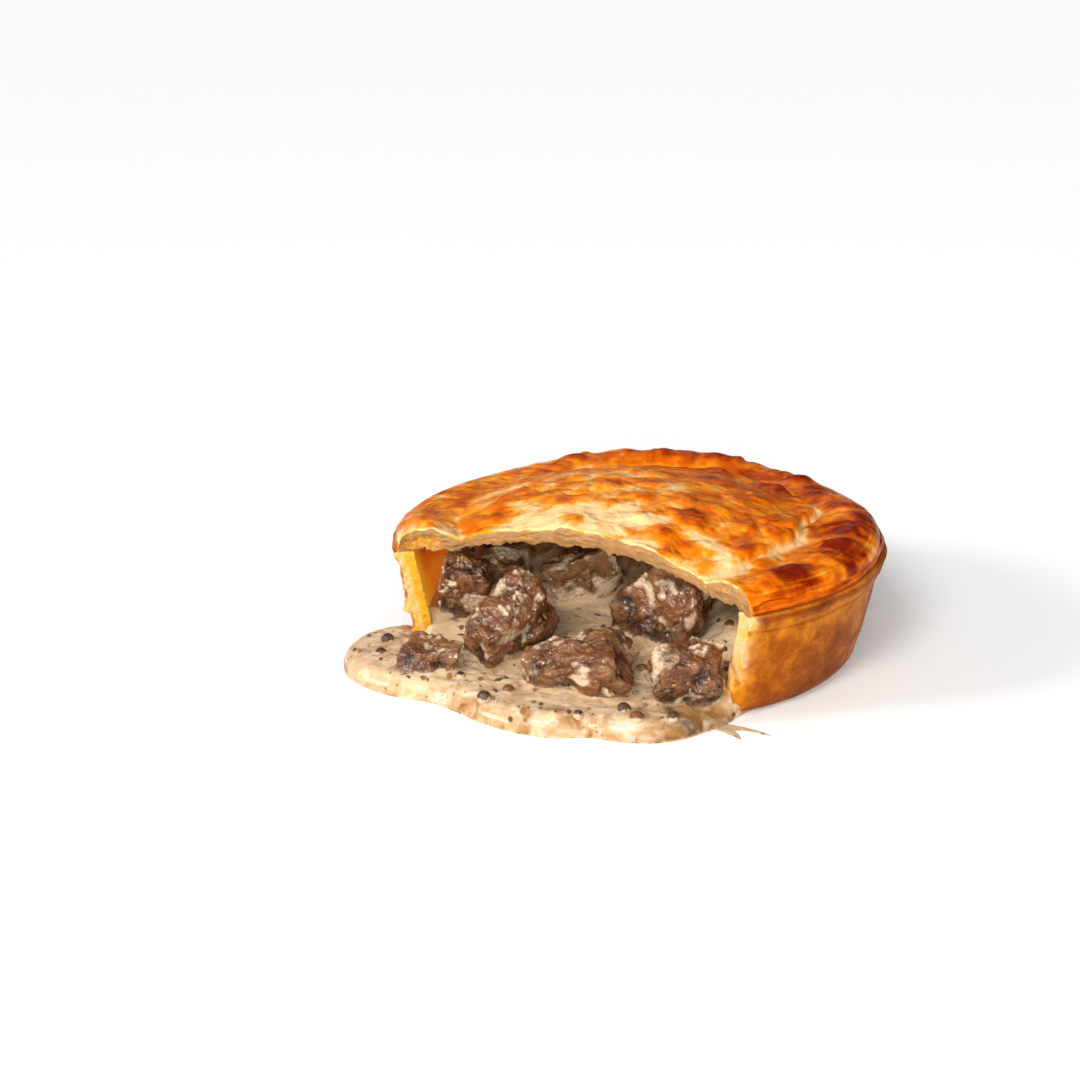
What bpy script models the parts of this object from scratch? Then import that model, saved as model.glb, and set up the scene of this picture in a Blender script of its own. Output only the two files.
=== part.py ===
"""Pepper steak pie, cut open: a round raised pie with its side cut away, so that the filling runs out.

The pie stands on z = 0 with its axis on the origin. The cut faces -Y, and the sauce spreads in front of it.
A pastry case with a lip carries a domed lid. Steak chunks stand in the sauce, and peppercorns show in it.
All sizes are in metres.
"""

import math
import random

import bmesh
import bpy
from mathutils import Matrix, Vector

TAU = 2 * math.pi

# Case: tapered pastry walls on a flat floor. Its lip is the pie's widest ring.
LIP_RADIUS = 0.0610
LIP_TOP = 0.0270
LIP_ROUND = 0.0006
COLLAR_FOOT = 0.0228
COLLAR_STEP = 0.0010
WALL_TOP_RADIUS = 0.0594
WALL_BULGE = 0.0003
WALL_THICKNESS = 0.0042
FOOT_RADIUS = 0.0547
FOOT_ROUND = 0.0024
FLOOR_THICKNESS = 0.0036
FLOOR_ROUND = 0.0018
WALL_SLOPE = (WALL_TOP_RADIUS - FOOT_RADIUS) / COLLAR_FOOT
WALL_LEVELS = (0.0085, 0.0155)
WALL_DENT = 0.00022

# Lid: a domed centre, a pressed groove, and a raised rim whose side meets the case at the seam.
DOME_TOP = 0.0388
DOME_POWER = 2.4
GROOVE_RADIUS = 0.0435
GROOVE_HEIGHT = 0.0316
RIM_CREST_RADIUS = 0.0525
RIM_CREST_HEIGHT = 0.0334
RIM_POWER = 2.4
LID_RADIUS = 0.0598
LID_SIDE_TOP = 0.0292
UNDERSIDE_EDGE = 0.0280
UNDERSIDE_TOP = 0.0342
UNDERSIDE_RADIUS = 0.0475
UNDERSIDE_POWER = 2.2
EDGE_WANDER = 0.0004

# Relief of the lid: puffed blisters on the dome and lumps along the rim.
BLISTER_COUNT = 46
BLISTER_SPACING = 0.0104
BLISTER_SIZES = (0.0020, 0.0032)
BLISTER_RISES = (0.0004, 0.0010)
LUMP_COUNT = 30
LUMP_SIZES = (0.0025, 0.0040)
LUMP_RISES = (0.0003, 0.0013)
RELIEF_DROP = 0.0004

# Where the rim sank in the oven: azimuths at which the sag starts, is full, still is full and has ended,
# and the share of the rim's height over RIM_FLOOR that it took.
RIM_SAGS = (
    ((88, 132, 160, 192), 0.68),
    ((2, 24, 42, 62), 0.24),
)
RIM_FLOOR = 0.0276
SAG_START = 0.0400

# Clearances between neighbouring solids: at the seam, round each chunk, and round the case.
SEAM_GAP = 0.0003
CHUNK_GAP = 0.0005
CASE_GAP = 0.00045

# The cut: an upright arc between two azimuths of the lip, bowed towards the pie's axis.
CUT_LEFT_AZIMUTH = math.radians(190.5)
CUT_RIGHT_AZIMUTH = math.radians(-66.5)
CUT_SAG = 0.0115
CUT_FLAKE = 0.00027
CUT_HALF_ANGLE = math.radians(36)
CUT_COLUMNS = 40
CUT_LEVELS = (-0.004, 0.046)
CUT_ROW = 0.00135

# Sauce: its levels above the table, and where it climbs towards the back and the right wall.
SPILL_LEVEL = 0.0047
MOUTH_LEVEL = 0.0082
MOUND_LEVEL = 0.0215
BANK_RISE = 0.0070
MOUTH_SPAN = (-0.018, 0.008)
MOUND_SPAN = (0.022, 0.060)
BANK_X_SPAN = (0.010, 0.026)
BANK_Y_SPAN = (-0.044, -0.020)
SAUCE_RIPPLE = 0.00025
SAUCE_EDGE_ROUND = 0.0048
SAUCE_INNER_RADIUS = 0.0526
SAUCE_CENTRE = Vector((-0.008, -0.012))
SAUCE_ARC = (math.radians(-62), math.radians(179))
SAUCE_ARC_POINTS = 22
SAUCE_RING_SHARES = (0, 0.16, 0.32, 0.47, 0.61, 0.73, 0.83, 0.905, 0.955, 0.985)

# Outline of the spilt sauce in plan, from the left end of the cut round to the right end.
SPILL_OUTLINE = [
    (-0.0580, -0.0010),
    (-0.0638, -0.0022),
    (-0.0690, -0.0062),
    (-0.0718, -0.0118),
    (-0.0725, -0.0185),
    (-0.0703, -0.0265),
    (-0.0645, -0.0340),
    (-0.0570, -0.0388),
    (-0.0500, -0.0415),
    (-0.0438, -0.0470),
    (-0.0375, -0.0535),
    (-0.0290, -0.0595),
    (-0.0205, -0.0620),
    (-0.0135, -0.0618),
    (-0.0065, -0.0640),
    (0.0015, -0.0648),
    (0.0085, -0.0625),
    (0.0145, -0.0578),
    (0.0190, -0.0540),
]

# Steak chunks: name, centre, size along its own axes, yaw, pitch and roll in degrees, seed.
STEAK = [
    ("steak_left_front", (-0.0437, -0.0049, 0.0154), (0.0100, 0.0110, 0.0211), (4, 6, 19), 6),
    ("steak_left_back", (-0.0332, 0.0072, 0.0140), (0.0112, 0.0136, 0.0124), (-4, 10, 4), 22),
    ("steak_peaked", (-0.0318, -0.0233, 0.0133), (0.0223, 0.0142, 0.0221), (35, -28, 28), 14),
    ("steak_middle", (-0.0127, 0.0081, 0.0129), (0.0172, 0.0107, 0.0161), (8, -27, 0), 6),
    ("steak_deep", (-0.0042, 0.0217, 0.0119), (0.0095, 0.0085, 0.0119), (26, -5, -10), 13),
    ("steak_block", (0.0056, -0.0165, 0.0152), (0.0250, 0.0155, 0.0149), (-27, -27, 1), 24),
    ("steak_front", (-0.0159, -0.0415, 0.0094), (0.0268, 0.0158, 0.0124), (-16, -26, 22), 23),
    ("steak_right", (0.0098, -0.0499, 0.0110), (0.0175, 0.0126, 0.0138), (20, 1, 18), 14),
    ("steak_spilt", (-0.0504, -0.0295, 0.0065), (0.0132, 0.0114, 0.0084), (-7, 16, -8), 2),
]
CHUNK_SKEW = 0.3
CHUNK_SIDE_SHARES = (0.88, 1.0)
CHUNK_CORNERS = 4
CHUNK_CORNER_SHARES = (0.60, 0.80)
CHUNK_POWER = 11
CHUNK_ROUGHNESS = 0.05

# Peppercorns that stand out of the sauce: x, y and diameter.
PEPPERCORNS = [
    (-0.0372, -0.0500, 0.0034),
    (-0.0317, -0.0452, 0.0031),
    (-0.0430, -0.0365, 0.0030),
    (-0.0050, -0.0565, 0.0033),
    (-0.0022, -0.0608, 0.0036),
    (-0.0155, -0.0588, 0.0027),
    (0.0060, -0.0605, 0.0030),
    (0.0000, -0.0365, 0.0031),
    (-0.0630, -0.0210, 0.0032),
    (-0.0618, -0.0135, 0.0034),
    (0.0215, -0.0250, 0.0030),
    (0.0195, -0.0335, 0.0028),
]
PEPPER_LIFT = 0.20

LID_SEGMENTS = 80
CASE_SEGMENTS = 72
SAUCE_SEGMENTS = 60
SHARP_ANGLE = math.radians(40)

# Each material's colour as linear RGB, then its roughness.
FINISHES = {
    "golden_pastry": ((0.62, 0.25, 0.045), 0.42),
    "pale_pastry": ((0.68, 0.36, 0.11), 0.55),
    "cream_sauce": ((0.62, 0.45, 0.26), 0.25),
    "braised_steak": ((0.13, 0.062, 0.036), 0.38),
}


# ---------------------------------------------------------------- helpers


def finish(name):
    """A Principled material in one of the pie's colours."""
    material = bpy.data.materials.get(name) or bpy.data.materials.new(name)
    material.use_nodes = True
    colour, roughness = FINISHES[name]
    shader = material.node_tree.nodes["Principled BSDF"]
    shader.inputs["Base Color"].default_value = (*colour, 1)
    shader.inputs["Roughness"].default_value = roughness
    shader.inputs["Metallic"].default_value = 0
    return material


def object_of(name, bm, material=None):
    """Makes an object of a bmesh, with its faces pointing out. Without a material it is a hidden cutter."""
    bmesh.ops.recalc_face_normals(bm, faces=bm.faces)
    mesh = bpy.data.meshes.new(name)
    bm.to_mesh(mesh)
    bm.free()
    mesh.shade_smooth()
    mesh.set_sharp_from_angle(angle=SHARP_ANGLE)
    obj = bpy.data.objects.new(name, mesh)
    bpy.context.scene.collection.objects.link(obj)
    if material:
        mesh.materials.append(finish(material))
    else:
        obj.hide_render = True
        obj.display_type = "WIRE"
    return obj


def collection_of(name, objects):
    """A collection of the given objects, for a Boolean to use."""
    collection = bpy.data.collections.new(name)
    bpy.context.scene.collection.children.link(collection)
    for obj in objects:
        collection.objects.link(obj)
    return collection


def cut_away(obj, cutter):
    """Leaves a live Boolean on obj that takes the cutter's volume out of it."""
    modifier = obj.modifiers.new("cut", "BOOLEAN")
    modifier.operation = "DIFFERENCE"
    modifier.solver = "EXACT"
    modifier.object = cutter


def apply_boolean(obj, operation, collection):
    """Joins or takes away a collection's objects and bakes the result into obj's mesh."""
    modifier = obj.modifiers.new(operation.lower(), "BOOLEAN")
    modifier.operation = operation
    modifier.solver = "MANIFOLD"
    modifier.operand_type = "COLLECTION"
    modifier.collection = collection
    bake_modifiers(obj)
    for part in list(collection.objects):
        bpy.data.objects.remove(part, do_unlink=True)


def bake_modifiers(obj):
    bpy.context.view_layer.update()
    graph = bpy.context.evaluated_depsgraph_get()
    mesh = bpy.data.meshes.new_from_object(obj.evaluated_get(graph))
    obj.modifiers.clear()
    obj.data = mesh


def smoothstep(low, high, value):
    """0 below low, 1 above high, and a smooth S between them."""
    t = min(1.0, max(0.0, (value - low) / (high - low)))
    return t * t * (3 - 2 * t)


def on_circle(radius, azimuth):
    return Vector((radius * math.cos(azimuth), radius * math.sin(azimuth)))


def rings_to_bmesh(rings):
    """A surface through rings of equal length. A ring of one point is a pole, and any other end is capped."""
    bm = bmesh.new()
    made = [[bm.verts.new(point) for point in ring] for ring in rings]
    for first, second in zip(made, made[1:]):
        count = max(len(first), len(second))
        for i in range(count):
            j = (i + 1) % count
            if len(first) == 1:
                bm.faces.new((first[0], second[j], second[i]))
            elif len(second) == 1:
                bm.faces.new((first[i], first[j], second[0]))
            else:
                bm.faces.new((first[i], first[j], second[j], second[i]))
    for end in (made[0], made[-1]):
        if len(end) > 1:
            bm.faces.new(end)
    return bm


# ---------------------------------------------------------------- relief


def wave_set(count, lowest, highest, seed):
    """Plane waves for wavy: random directions with wave numbers in radians per unit, and phases."""
    draw = random.Random(seed)
    waves = []
    for _ in range(count):
        direction = Vector([draw.gauss(0, 1) for _ in range(3)]).normalized()
        waves.append((direction * draw.uniform(lowest, highest), draw.uniform(0, TAU)))
    return waves


def wavy(point, waves, shift=0.0):
    """Sum of cos(k.p + phase) over a wave set, scaled so that it mostly stays within -1 and 1."""
    total = sum(math.cos(k.dot(point) + phase + shift * (i + 1)) for i, (k, phase) in enumerate(waves))
    return total / math.sqrt(len(waves))


def edge_wander(azimuth, seed):
    """In and out wander of a pastry edge: cosines of 2 to 30 turns, each with a seeded phase."""
    draw = random.Random(seed)
    turns = (2, 3, 5, 8, 13, 21, 30)
    return EDGE_WANDER * sum(math.cos(k * azimuth + draw.uniform(0, TAU)) / math.sqrt(k) for k in turns) / 2


def dome_blisters():
    """Blisters of the flaky dome, by seeded dart throwing: centre, size, rise."""
    draw = random.Random(4)
    blisters = []
    spacing = BLISTER_SPACING
    while len(blisters) < BLISTER_COUNT:
        spot = on_circle(GROOVE_RADIUS * math.sqrt(draw.random()), TAU * draw.random())
        if all((spot - other[0]).length > spacing for other in blisters):
            blisters.append((spot, draw.uniform(*BLISTER_SIZES), draw.uniform(*BLISTER_RISES)))
        spacing *= 0.9995
    return blisters


def rim_lumps():
    """Lumps along the rim's crest: azimuth, size, rise."""
    draw = random.Random(8)
    step = TAU / LUMP_COUNT
    return [
        ((i + draw.uniform(-0.3, 0.3)) * step, draw.uniform(*LUMP_SIZES), draw.uniform(*LUMP_RISES))
        for i in range(LUMP_COUNT)
    ]


BLISTERS = dome_blisters()
LUMPS = rim_lumps()
STEAK_WAVES = wave_set(9, 3.0, 7.0, 31)
WALL_WAVES = wave_set(12, 250, 700, 32)
SAUCE_WAVES = wave_set(10, 150, 420, 33)
FLAKE_WAVES = wave_set(14, 500, 1500, 34)


def lid_relief(spot):
    """What blisters and lumps add to the lid's height: rise * exp(-distance^2 / (2 size^2)) each."""
    height = -RELIEF_DROP
    for centre, size, rise in BLISTERS:
        height += rise * math.exp(-(spot - centre).length_squared / (2 * size**2))
    across = spot.length - RIM_CREST_RADIUS
    turn = math.atan2(spot.y, spot.x)
    for azimuth, size, rise in LUMPS:
        along = RIM_CREST_RADIUS * math.remainder(turn - azimuth, TAU)
        height += rise * math.exp(-(along**2 + across**2) / (2 * size**2))
    return height


# ---------------------------------------------------------------- the cut


def cut_circle():
    """Centre and radius of the upright arc that the knife followed, from its chord and its sag."""
    left = on_circle(LIP_RADIUS, CUT_LEFT_AZIMUTH)
    right = on_circle(LIP_RADIUS, CUT_RIGHT_AZIMUTH)
    middle = (left + right) / 2
    half = (right - left).length / 2
    radius = (half**2 + CUT_SAG**2) / (2 * CUT_SAG)
    return middle + middle.normalized() * (radius - CUT_SAG), radius


CUT_CENTRE, CUT_RADIUS = cut_circle()


def cut_distance(spot):
    """How far a plan point lies behind the cut, negative in front of it."""
    return (spot - CUT_CENTRE).length - CUT_RADIUS


def cut_relief(along, z):
    """Flakes of the cut face: thin level layers that stick out or lie back, in a slow wander."""
    layers = wavy(Vector((along * 0.22, 0, z * 1.9)), FLAKE_WAVES)
    wander = wavy(Vector((along * 0.6, 0, z * 0.4)), FLAKE_WAVES, 2.1)
    return CUT_FLAKE * (layers + wander)


def knife(name, shrink=0.0):
    """A closed sector beyond the cut: its near side is the cut's arc with the flakes in relief."""
    low, high = CUT_LEVELS
    rows = round((high - low) / CUT_ROW)
    towards_pie = math.atan2(-CUT_CENTRE.y, -CUT_CENTRE.x)
    rings = []
    for row in range(rows + 1):
        z = low + (high - low) * row / rows
        ring = [(*(CUT_CENTRE * 0.9), z)]
        for column in range(CUT_COLUMNS + 1):
            angle = towards_pie + CUT_HALF_ANGLE * (2 * column / CUT_COLUMNS - 1)
            radius = CUT_RADIUS - shrink + cut_relief(angle * CUT_RADIUS, z)
            ring.append((*(CUT_CENTRE + on_circle(radius, angle)), z))
        rings.append(ring)
    return object_of(name, rings_to_bmesh(rings))


# ---------------------------------------------------------------- pastry


def turned(name, profile, place, segments, material=None):
    """A full turn of (radius, height) pairs that starts and ends on the axis. place adds the relief."""
    rings = []
    for radius, height in profile:
        count = segments if radius else 1
        rings.append([place(radius, TAU * i / segments, height) for i in range(count)])
    return object_of(name, rings_to_bmesh(rings), material)


def case_outside():
    """Outer half of the case's section, from its flat underside up to the lip."""
    foot = [(FOOT_RADIUS - 0.0032, 0), (FOOT_RADIUS - 0.0011, 0.0007), (FOOT_RADIUS + 0.0002, FOOT_ROUND)]
    wall = [(FOOT_RADIUS + WALL_SLOPE * z + WALL_BULGE, z) for z in WALL_LEVELS]
    collar = [(WALL_TOP_RADIUS, COLLAR_FOOT), (LIP_RADIUS - LIP_ROUND, COLLAR_FOOT + COLLAR_STEP)]
    lip = [(LIP_RADIUS, LIP_TOP - COLLAR_STEP), (LIP_RADIUS - LIP_ROUND, LIP_TOP)]
    return foot + wall + collar + lip


def case_inside():
    """Inner half of the case's section, from the top of the lip down to the floor."""
    top = WALL_TOP_RADIUS - WALL_THICKNESS + 0.0008
    mouth = [(top, LIP_TOP), (top - LIP_ROUND, COLLAR_FOOT)]
    levels = (*reversed(WALL_LEVELS), FLOOR_THICKNESS + FLOOR_ROUND)
    wall = [(FOOT_RADIUS + WALL_SLOPE * z - WALL_THICKNESS, z) for z in levels]
    return mouth + wall + [(FOOT_RADIUS - WALL_THICKNESS - FLOOR_ROUND, FLOOR_THICKNESS)]


def case_profile():
    outside, inside = case_outside(), case_inside()
    return [(0, 0)] + outside + inside + [(0, FLOOR_THICKNESS)]


def clearance_profile():
    """The case's section grown by CASE_GAP, and run straight down past the table below the foot."""
    outside = [(r + CASE_GAP, z) for r, z in case_outside()[2:]]
    outside[-1] = (outside[-1][0], LIP_TOP + CASE_GAP)
    inside = [(r - CASE_GAP, z) for r, z in case_inside()]
    inside[0] = (inside[0][0], LIP_TOP + CASE_GAP)
    inside[-1] = (inside[-1][0], FLOOR_THICKNESS + CASE_GAP)
    below = -FLOOR_THICKNESS
    foot = FOOT_RADIUS + CASE_GAP
    return [(0, below), (foot, below)] + outside + inside + [(0, FLOOR_THICKNESS + CASE_GAP)]


def place_case(radius, azimuth, height):
    """Wanders the lip and dents the wall a little, and leaves the inside and the underside as they are."""
    if radius > FOOT_RADIUS and height > FOOT_ROUND:
        spot = on_circle(radius, azimuth)
        dent = WALL_DENT * wavy(Vector((*spot, height)), WALL_WAVES) * (height < COLLAR_FOOT)
        radius += dent + edge_wander(azimuth, 21) * smoothstep(0.8 * COLLAR_FOOT, LIP_TOP, height)
    return (*on_circle(radius, azimuth), height)


def lid_height(radius):
    """The lid's smooth top: a dome, a pressed groove, then a rim that rounds over to its side."""
    if radius <= GROOVE_RADIUS:
        return GROOVE_HEIGHT + (DOME_TOP - GROOVE_HEIGHT) * (1 - (radius / GROOVE_RADIUS) ** DOME_POWER)
    if radius <= RIM_CREST_RADIUS:
        climb = smoothstep(GROOVE_RADIUS, RIM_CREST_RADIUS, radius)
        return GROOVE_HEIGHT + (RIM_CREST_HEIGHT - GROOVE_HEIGHT) * climb
    t = (radius - RIM_CREST_RADIUS) / (LID_RADIUS - RIM_CREST_RADIUS)
    return LID_SIDE_TOP + (RIM_CREST_HEIGHT - LID_SIDE_TOP) * math.sqrt(max(0.0, 1 - t**RIM_POWER))


def underside_height(radius):
    """The lid's underside: hollow below the dome, level where it reaches the case."""
    hollow = max(0.0, 1 - (radius / UNDERSIDE_RADIUS) ** UNDERSIDE_POWER)
    return UNDERSIDE_EDGE + (UNDERSIDE_TOP - UNDERSIDE_EDGE) * hollow


def lid_profile():
    """The lid's section: out over the top, down the side to the seam, and back along the underside."""
    rim_width = LID_RADIUS - GROOVE_RADIUS
    radii = [GROOVE_RADIUS * share for share in (0, 0.11, 0.22, 0.33, 0.44, 0.54, 0.64, 0.74, 0.84, 0.93, 1)]
    radii += [GROOVE_RADIUS + rim_width * share for share in (0.17, 0.35, 0.55, 0.72, 0.86, 0.955, 1)]
    seam = LIP_TOP + SEAM_GAP
    land = WALL_TOP_RADIUS - WALL_THICKNESS
    side = [(LID_RADIUS, LID_SIDE_TOP - 0.0009), (LID_RADIUS - 0.0002, seam), (land + 0.0006, seam)]
    under = [land * share for share in (0.99, 0.90, 0.80, 0.69, 0.56, 0.42, 0.24, 0)]
    return [(r, lid_height(r)) for r in radii] + side + [(r, underside_height(r)) for r in under]


def rim_sag(radius, azimuth):
    """Share of the rim's height that is missing at a point, because the pastry sank there."""
    turn = math.degrees(azimuth) % 360
    share = sum(
        depth * smoothstep(start, full, turn) * (1 - smoothstep(still, end, turn))
        for (start, full, still, end), depth in RIM_SAGS
    )
    return share * smoothstep(SAG_START, RIM_CREST_RADIUS, radius)


def place_lid(radius, azimuth, height):
    """Adds blisters and lumps to the top, lets the rim sag, and wanders the outer edge."""
    on_top = height > underside_height(radius) + SEAM_GAP and height >= LID_SIDE_TOP
    if radius > RIM_CREST_RADIUS:
        radius += edge_wander(azimuth, 22) * smoothstep(RIM_CREST_RADIUS, LID_RADIUS, radius)
    spot = on_circle(radius, azimuth)
    if on_top:
        height += lid_relief(spot) * (1 - smoothstep(0.945 * LID_RADIUS, LID_RADIUS, radius))
    if on_top or (radius > RIM_CREST_RADIUS and height > RIM_FLOOR):
        height -= (height - RIM_FLOOR) * rim_sag(radius, azimuth)
    return (*spot, height)


def build_pastry():
    """The case and the lid, both cut by the same knife."""
    cut = knife("knife")
    cut_away(turned("pastry_base", case_profile(), place_case, CASE_SEGMENTS, "pale_pastry"), cut)
    cut_away(turned("pastry_lid", lid_profile(), place_lid, LID_SEGMENTS, "golden_pastry"), cut)


# ---------------------------------------------------------------- steak


def chunk_planes(size, seed):
    """A chunk's flat sides as (direction, distance): six of a box, set askew, and some that cut its corners."""
    draw = random.Random(seed)
    planes = []
    for axis in range(3):
        for sign in (-1, 1):
            direction = Vector([draw.uniform(-CHUNK_SKEW, CHUNK_SKEW) for _ in range(3)])
            direction[axis] = sign
            planes.append((direction.normalized(), size[axis] / 2 * draw.uniform(*CHUNK_SIDE_SHARES)))
    for _ in range(CHUNK_CORNERS):
        direction = Vector([draw.choice((-1, 1)) * draw.uniform(0.35, 1) for _ in range(3)]).normalized()
        reach = sum(abs(direction[i]) * size[i] / 2 for i in range(3))
        planes.append((direction, reach * draw.uniform(*CHUNK_CORNER_SHARES)))
    return planes


def chunk_radius(direction, planes):
    """Distance from a chunk's middle to its surface: a smoothed least of the distances to its sides."""
    total = sum(max(0.0, normal.dot(direction) / distance) ** CHUNK_POWER for normal, distance in planes)
    return total ** (-1 / CHUNK_POWER)


def chunk(name, centre, size, turn, seed, grow=0.0, material=None):
    """One chunk of steak: a box with skew sides, cut corners and rounded edges."""
    planes = chunk_planes(size, seed)
    yaw, pitch, roll = (math.radians(angle) for angle in turn)
    turned_to = Matrix.Rotation(yaw, 3, "Z") @ Matrix.Rotation(pitch, 3, "Y") @ Matrix.Rotation(roll, 3, "X")
    bm = bmesh.new()
    bmesh.ops.create_icosphere(bm, subdivisions=3, radius=1)
    for vert in bm.verts:
        direction = vert.co.normalized()
        swell = 1 + CHUNK_ROUGHNESS * wavy(direction, STEAK_WAVES, seed)
        reach = chunk_radius(direction, planes) * swell + grow
        vert.co = Vector(centre) + turned_to @ (direction * reach)
    return object_of(name, bm, material)


def build_steak():
    for chunk_values in STEAK:
        chunk(*chunk_values, material="braised_steak")


# ---------------------------------------------------------------- sauce


def sauce_height(spot):
    """The sauce's level: thin where spilt, deeper in the mouth, banked on the right, heaped at the back."""
    behind = cut_distance(spot)
    within = 1 - smoothstep(SAUCE_INNER_RADIUS, SAUCE_INNER_RADIUS + 0.003, spot.length)
    heaped = smoothstep(*MOUND_SPAN, behind)
    rise = (MOUTH_LEVEL - SPILL_LEVEL) * smoothstep(*MOUTH_SPAN, behind)
    rise += (MOUND_LEVEL - MOUTH_LEVEL) * heaped
    rise += BANK_RISE * smoothstep(*BANK_X_SPAN, spot.x) * smoothstep(*BANK_Y_SPAN, spot.y) * (1 - heaped)
    return SPILL_LEVEL + rise * within + SAUCE_RIPPLE * wavy(Vector((*spot, 0)), SAUCE_WAVES)


def smooth_loop(control, steps):
    """A Catmull-Rom curve through a closed loop of plan points, with steps points to each stretch."""
    loop = []
    for i in range(len(control)):
        p0, p1, p2, p3 = (control[(i + k) % len(control)] for k in (-1, 0, 1, 2))
        for step in range(steps):
            t = step / steps
            square = 2 * p0 - 5 * p1 + 4 * p2 - p3
            cube = 3 * p1 - p0 - 3 * p2 + p3
            loop.append((2 * p1 + (p2 - p0) * t + square * t**2 + cube * t**3) / 2)
    return loop


def evenly_spaced(loop, count):
    """count points at equal distances along a closed loop."""
    ends = loop[1:] + loop[:1]
    lengths = [(end - start).length for start, end in zip(loop, ends)]
    spacing = sum(lengths) / count
    points = []
    passed = 0.0
    for start, end, length in zip(loop, ends, lengths):
        while len(points) < count and len(points) * spacing < passed + length:
            points.append(start.lerp(end, (len(points) * spacing - passed) / length))
        passed += length
    return points


def sauce_outline():
    """The sauce in plan: an arc inside the wall, then the spill."""
    start, end = SAUCE_ARC
    step = (end - start) / (SAUCE_ARC_POINTS - 1)
    arc = [on_circle(SAUCE_INNER_RADIUS, start + step * i) for i in range(SAUCE_ARC_POINTS)]
    spill = [Vector(point) for point in SPILL_OUTLINE]
    return evenly_spaced(smooth_loop(arc + spill, 12), SAUCE_SEGMENTS)


def sauce_point(edge, share):
    """A point of the sauce's top, at a share of the way from its centre to a point of its edge.

    Where the sauce is spilt it rounds over by level * sqrt(1 - (1 - d / SAUCE_EDGE_ROUND)^2), d being the
    distance from the edge. Inside the case the edge leans out with height, so that it ends within the wall.
    """
    spot = SAUCE_CENTRE.lerp(edge, share)
    level = sauce_height(spot)
    spilt = cut_distance(edge) < 0.002 or edge.length > SAUCE_INNER_RADIUS + 0.0015
    if spilt:
        from_edge = (edge - spot).length
        level *= math.sqrt(1 - (1 - min(1.0, from_edge / SAUCE_EDGE_ROUND)) ** 2)
    else:
        spot = spot + spot.normalized() * level * WALL_SLOPE * smoothstep(0.8, 1.0, share)
    return (*spot, level)


def sauce_body():
    """The sauce before the case and the steak are cut out of it: rings that shrink towards its centre."""
    outline = sauce_outline()
    rings = [[sauce_point(edge, share) for edge in outline] for share in SAUCE_RING_SHARES]
    rings[0] = rings[0][:1]
    rings.append([(*edge, 0) for edge in outline])
    return object_of("pepper_sauce", rings_to_bmesh(rings), "cream_sauce")


def case_clearance():
    """The cut case with its clearance, as a cutter for the sauce."""
    clearance = turned("case_clearance", clearance_profile(), place_case, CASE_SEGMENTS)
    near_cut = knife("knife_for_clearance", CASE_GAP)
    cut_away(clearance, near_cut)
    bake_modifiers(clearance)
    bpy.data.objects.remove(near_cut, do_unlink=True)
    return clearance


def peppercorn(name, x, y, diameter):
    """A peppercorn that stands out of the sauce by most of its height."""
    bm = bmesh.new()
    bmesh.ops.create_icosphere(bm, subdivisions=1, radius=diameter / 2)
    height = sauce_height(Vector((x, y))) + PEPPER_LIFT * diameter
    bmesh.ops.translate(bm, vec=(x, y, height), verts=bm.verts)
    return object_of(name, bm)


def build_sauce():
    """The sauce, cut round the case and every chunk, with the peppercorns fused on."""
    sauce = sauce_body()
    clearances = [case_clearance()]
    clearances += [chunk(f"{values[0]}_clearance", *values[1:], grow=CHUNK_GAP) for values in STEAK]
    apply_boolean(sauce, "DIFFERENCE", collection_of("sauce_clearances", clearances))
    pepper = [peppercorn(f"peppercorn_{i}", *values) for i, values in enumerate(PEPPERCORNS)]
    apply_boolean(sauce, "UNION", collection_of("peppercorns", pepper))


def main():
    for obj in list(bpy.data.objects):
        bpy.data.objects.remove(obj, do_unlink=True)
    build_pastry()
    build_steak()
    build_sauce()


main()
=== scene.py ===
"""Looks of the pepper steak pie: baked pastry, braised steak, pepper cream sauce and cracked pepper.

The file is laid out as an add-on and is run as a script. Every piece is a surface worked out with numpy in
metres, in the frame of the CAD model: z = 0 is the table, the pie's axis is x = y = 0, and the cut faces -Y.
Plan points are arrays whose last axis holds x and y. In the formulas hump(x, w) is exp(-(x / w)^2), and
fade(x, w) is exp(-x / w) for x above 0 and 1 below.
"""

import math
import random
from functools import partial

import bmesh
import bpy
import numpy as np
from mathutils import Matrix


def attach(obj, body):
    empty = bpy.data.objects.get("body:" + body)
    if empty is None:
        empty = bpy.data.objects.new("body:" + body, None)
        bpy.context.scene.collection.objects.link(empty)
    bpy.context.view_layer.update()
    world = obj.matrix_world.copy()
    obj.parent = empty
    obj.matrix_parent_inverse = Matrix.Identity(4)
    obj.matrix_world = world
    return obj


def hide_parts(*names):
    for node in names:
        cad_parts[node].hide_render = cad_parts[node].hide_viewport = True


bl_info = {
    "name": "Pepper steak pie",
    "version": (1, 0, 0),
    "blender": (4, 5, 0),
    "location": "View3D > Sidebar > Pie",
    "description": "Makes a cut pepper steak pie with its filling, and the stage it is lit on",
    "category": "Object",
}

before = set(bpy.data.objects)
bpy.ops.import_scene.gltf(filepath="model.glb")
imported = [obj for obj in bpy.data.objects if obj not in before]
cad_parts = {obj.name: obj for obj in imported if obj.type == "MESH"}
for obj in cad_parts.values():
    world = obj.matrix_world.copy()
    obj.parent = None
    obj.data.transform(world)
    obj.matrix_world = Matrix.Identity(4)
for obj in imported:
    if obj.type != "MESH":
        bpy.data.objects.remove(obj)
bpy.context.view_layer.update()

TAU = 2 * math.pi
MM = 0.001

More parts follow.
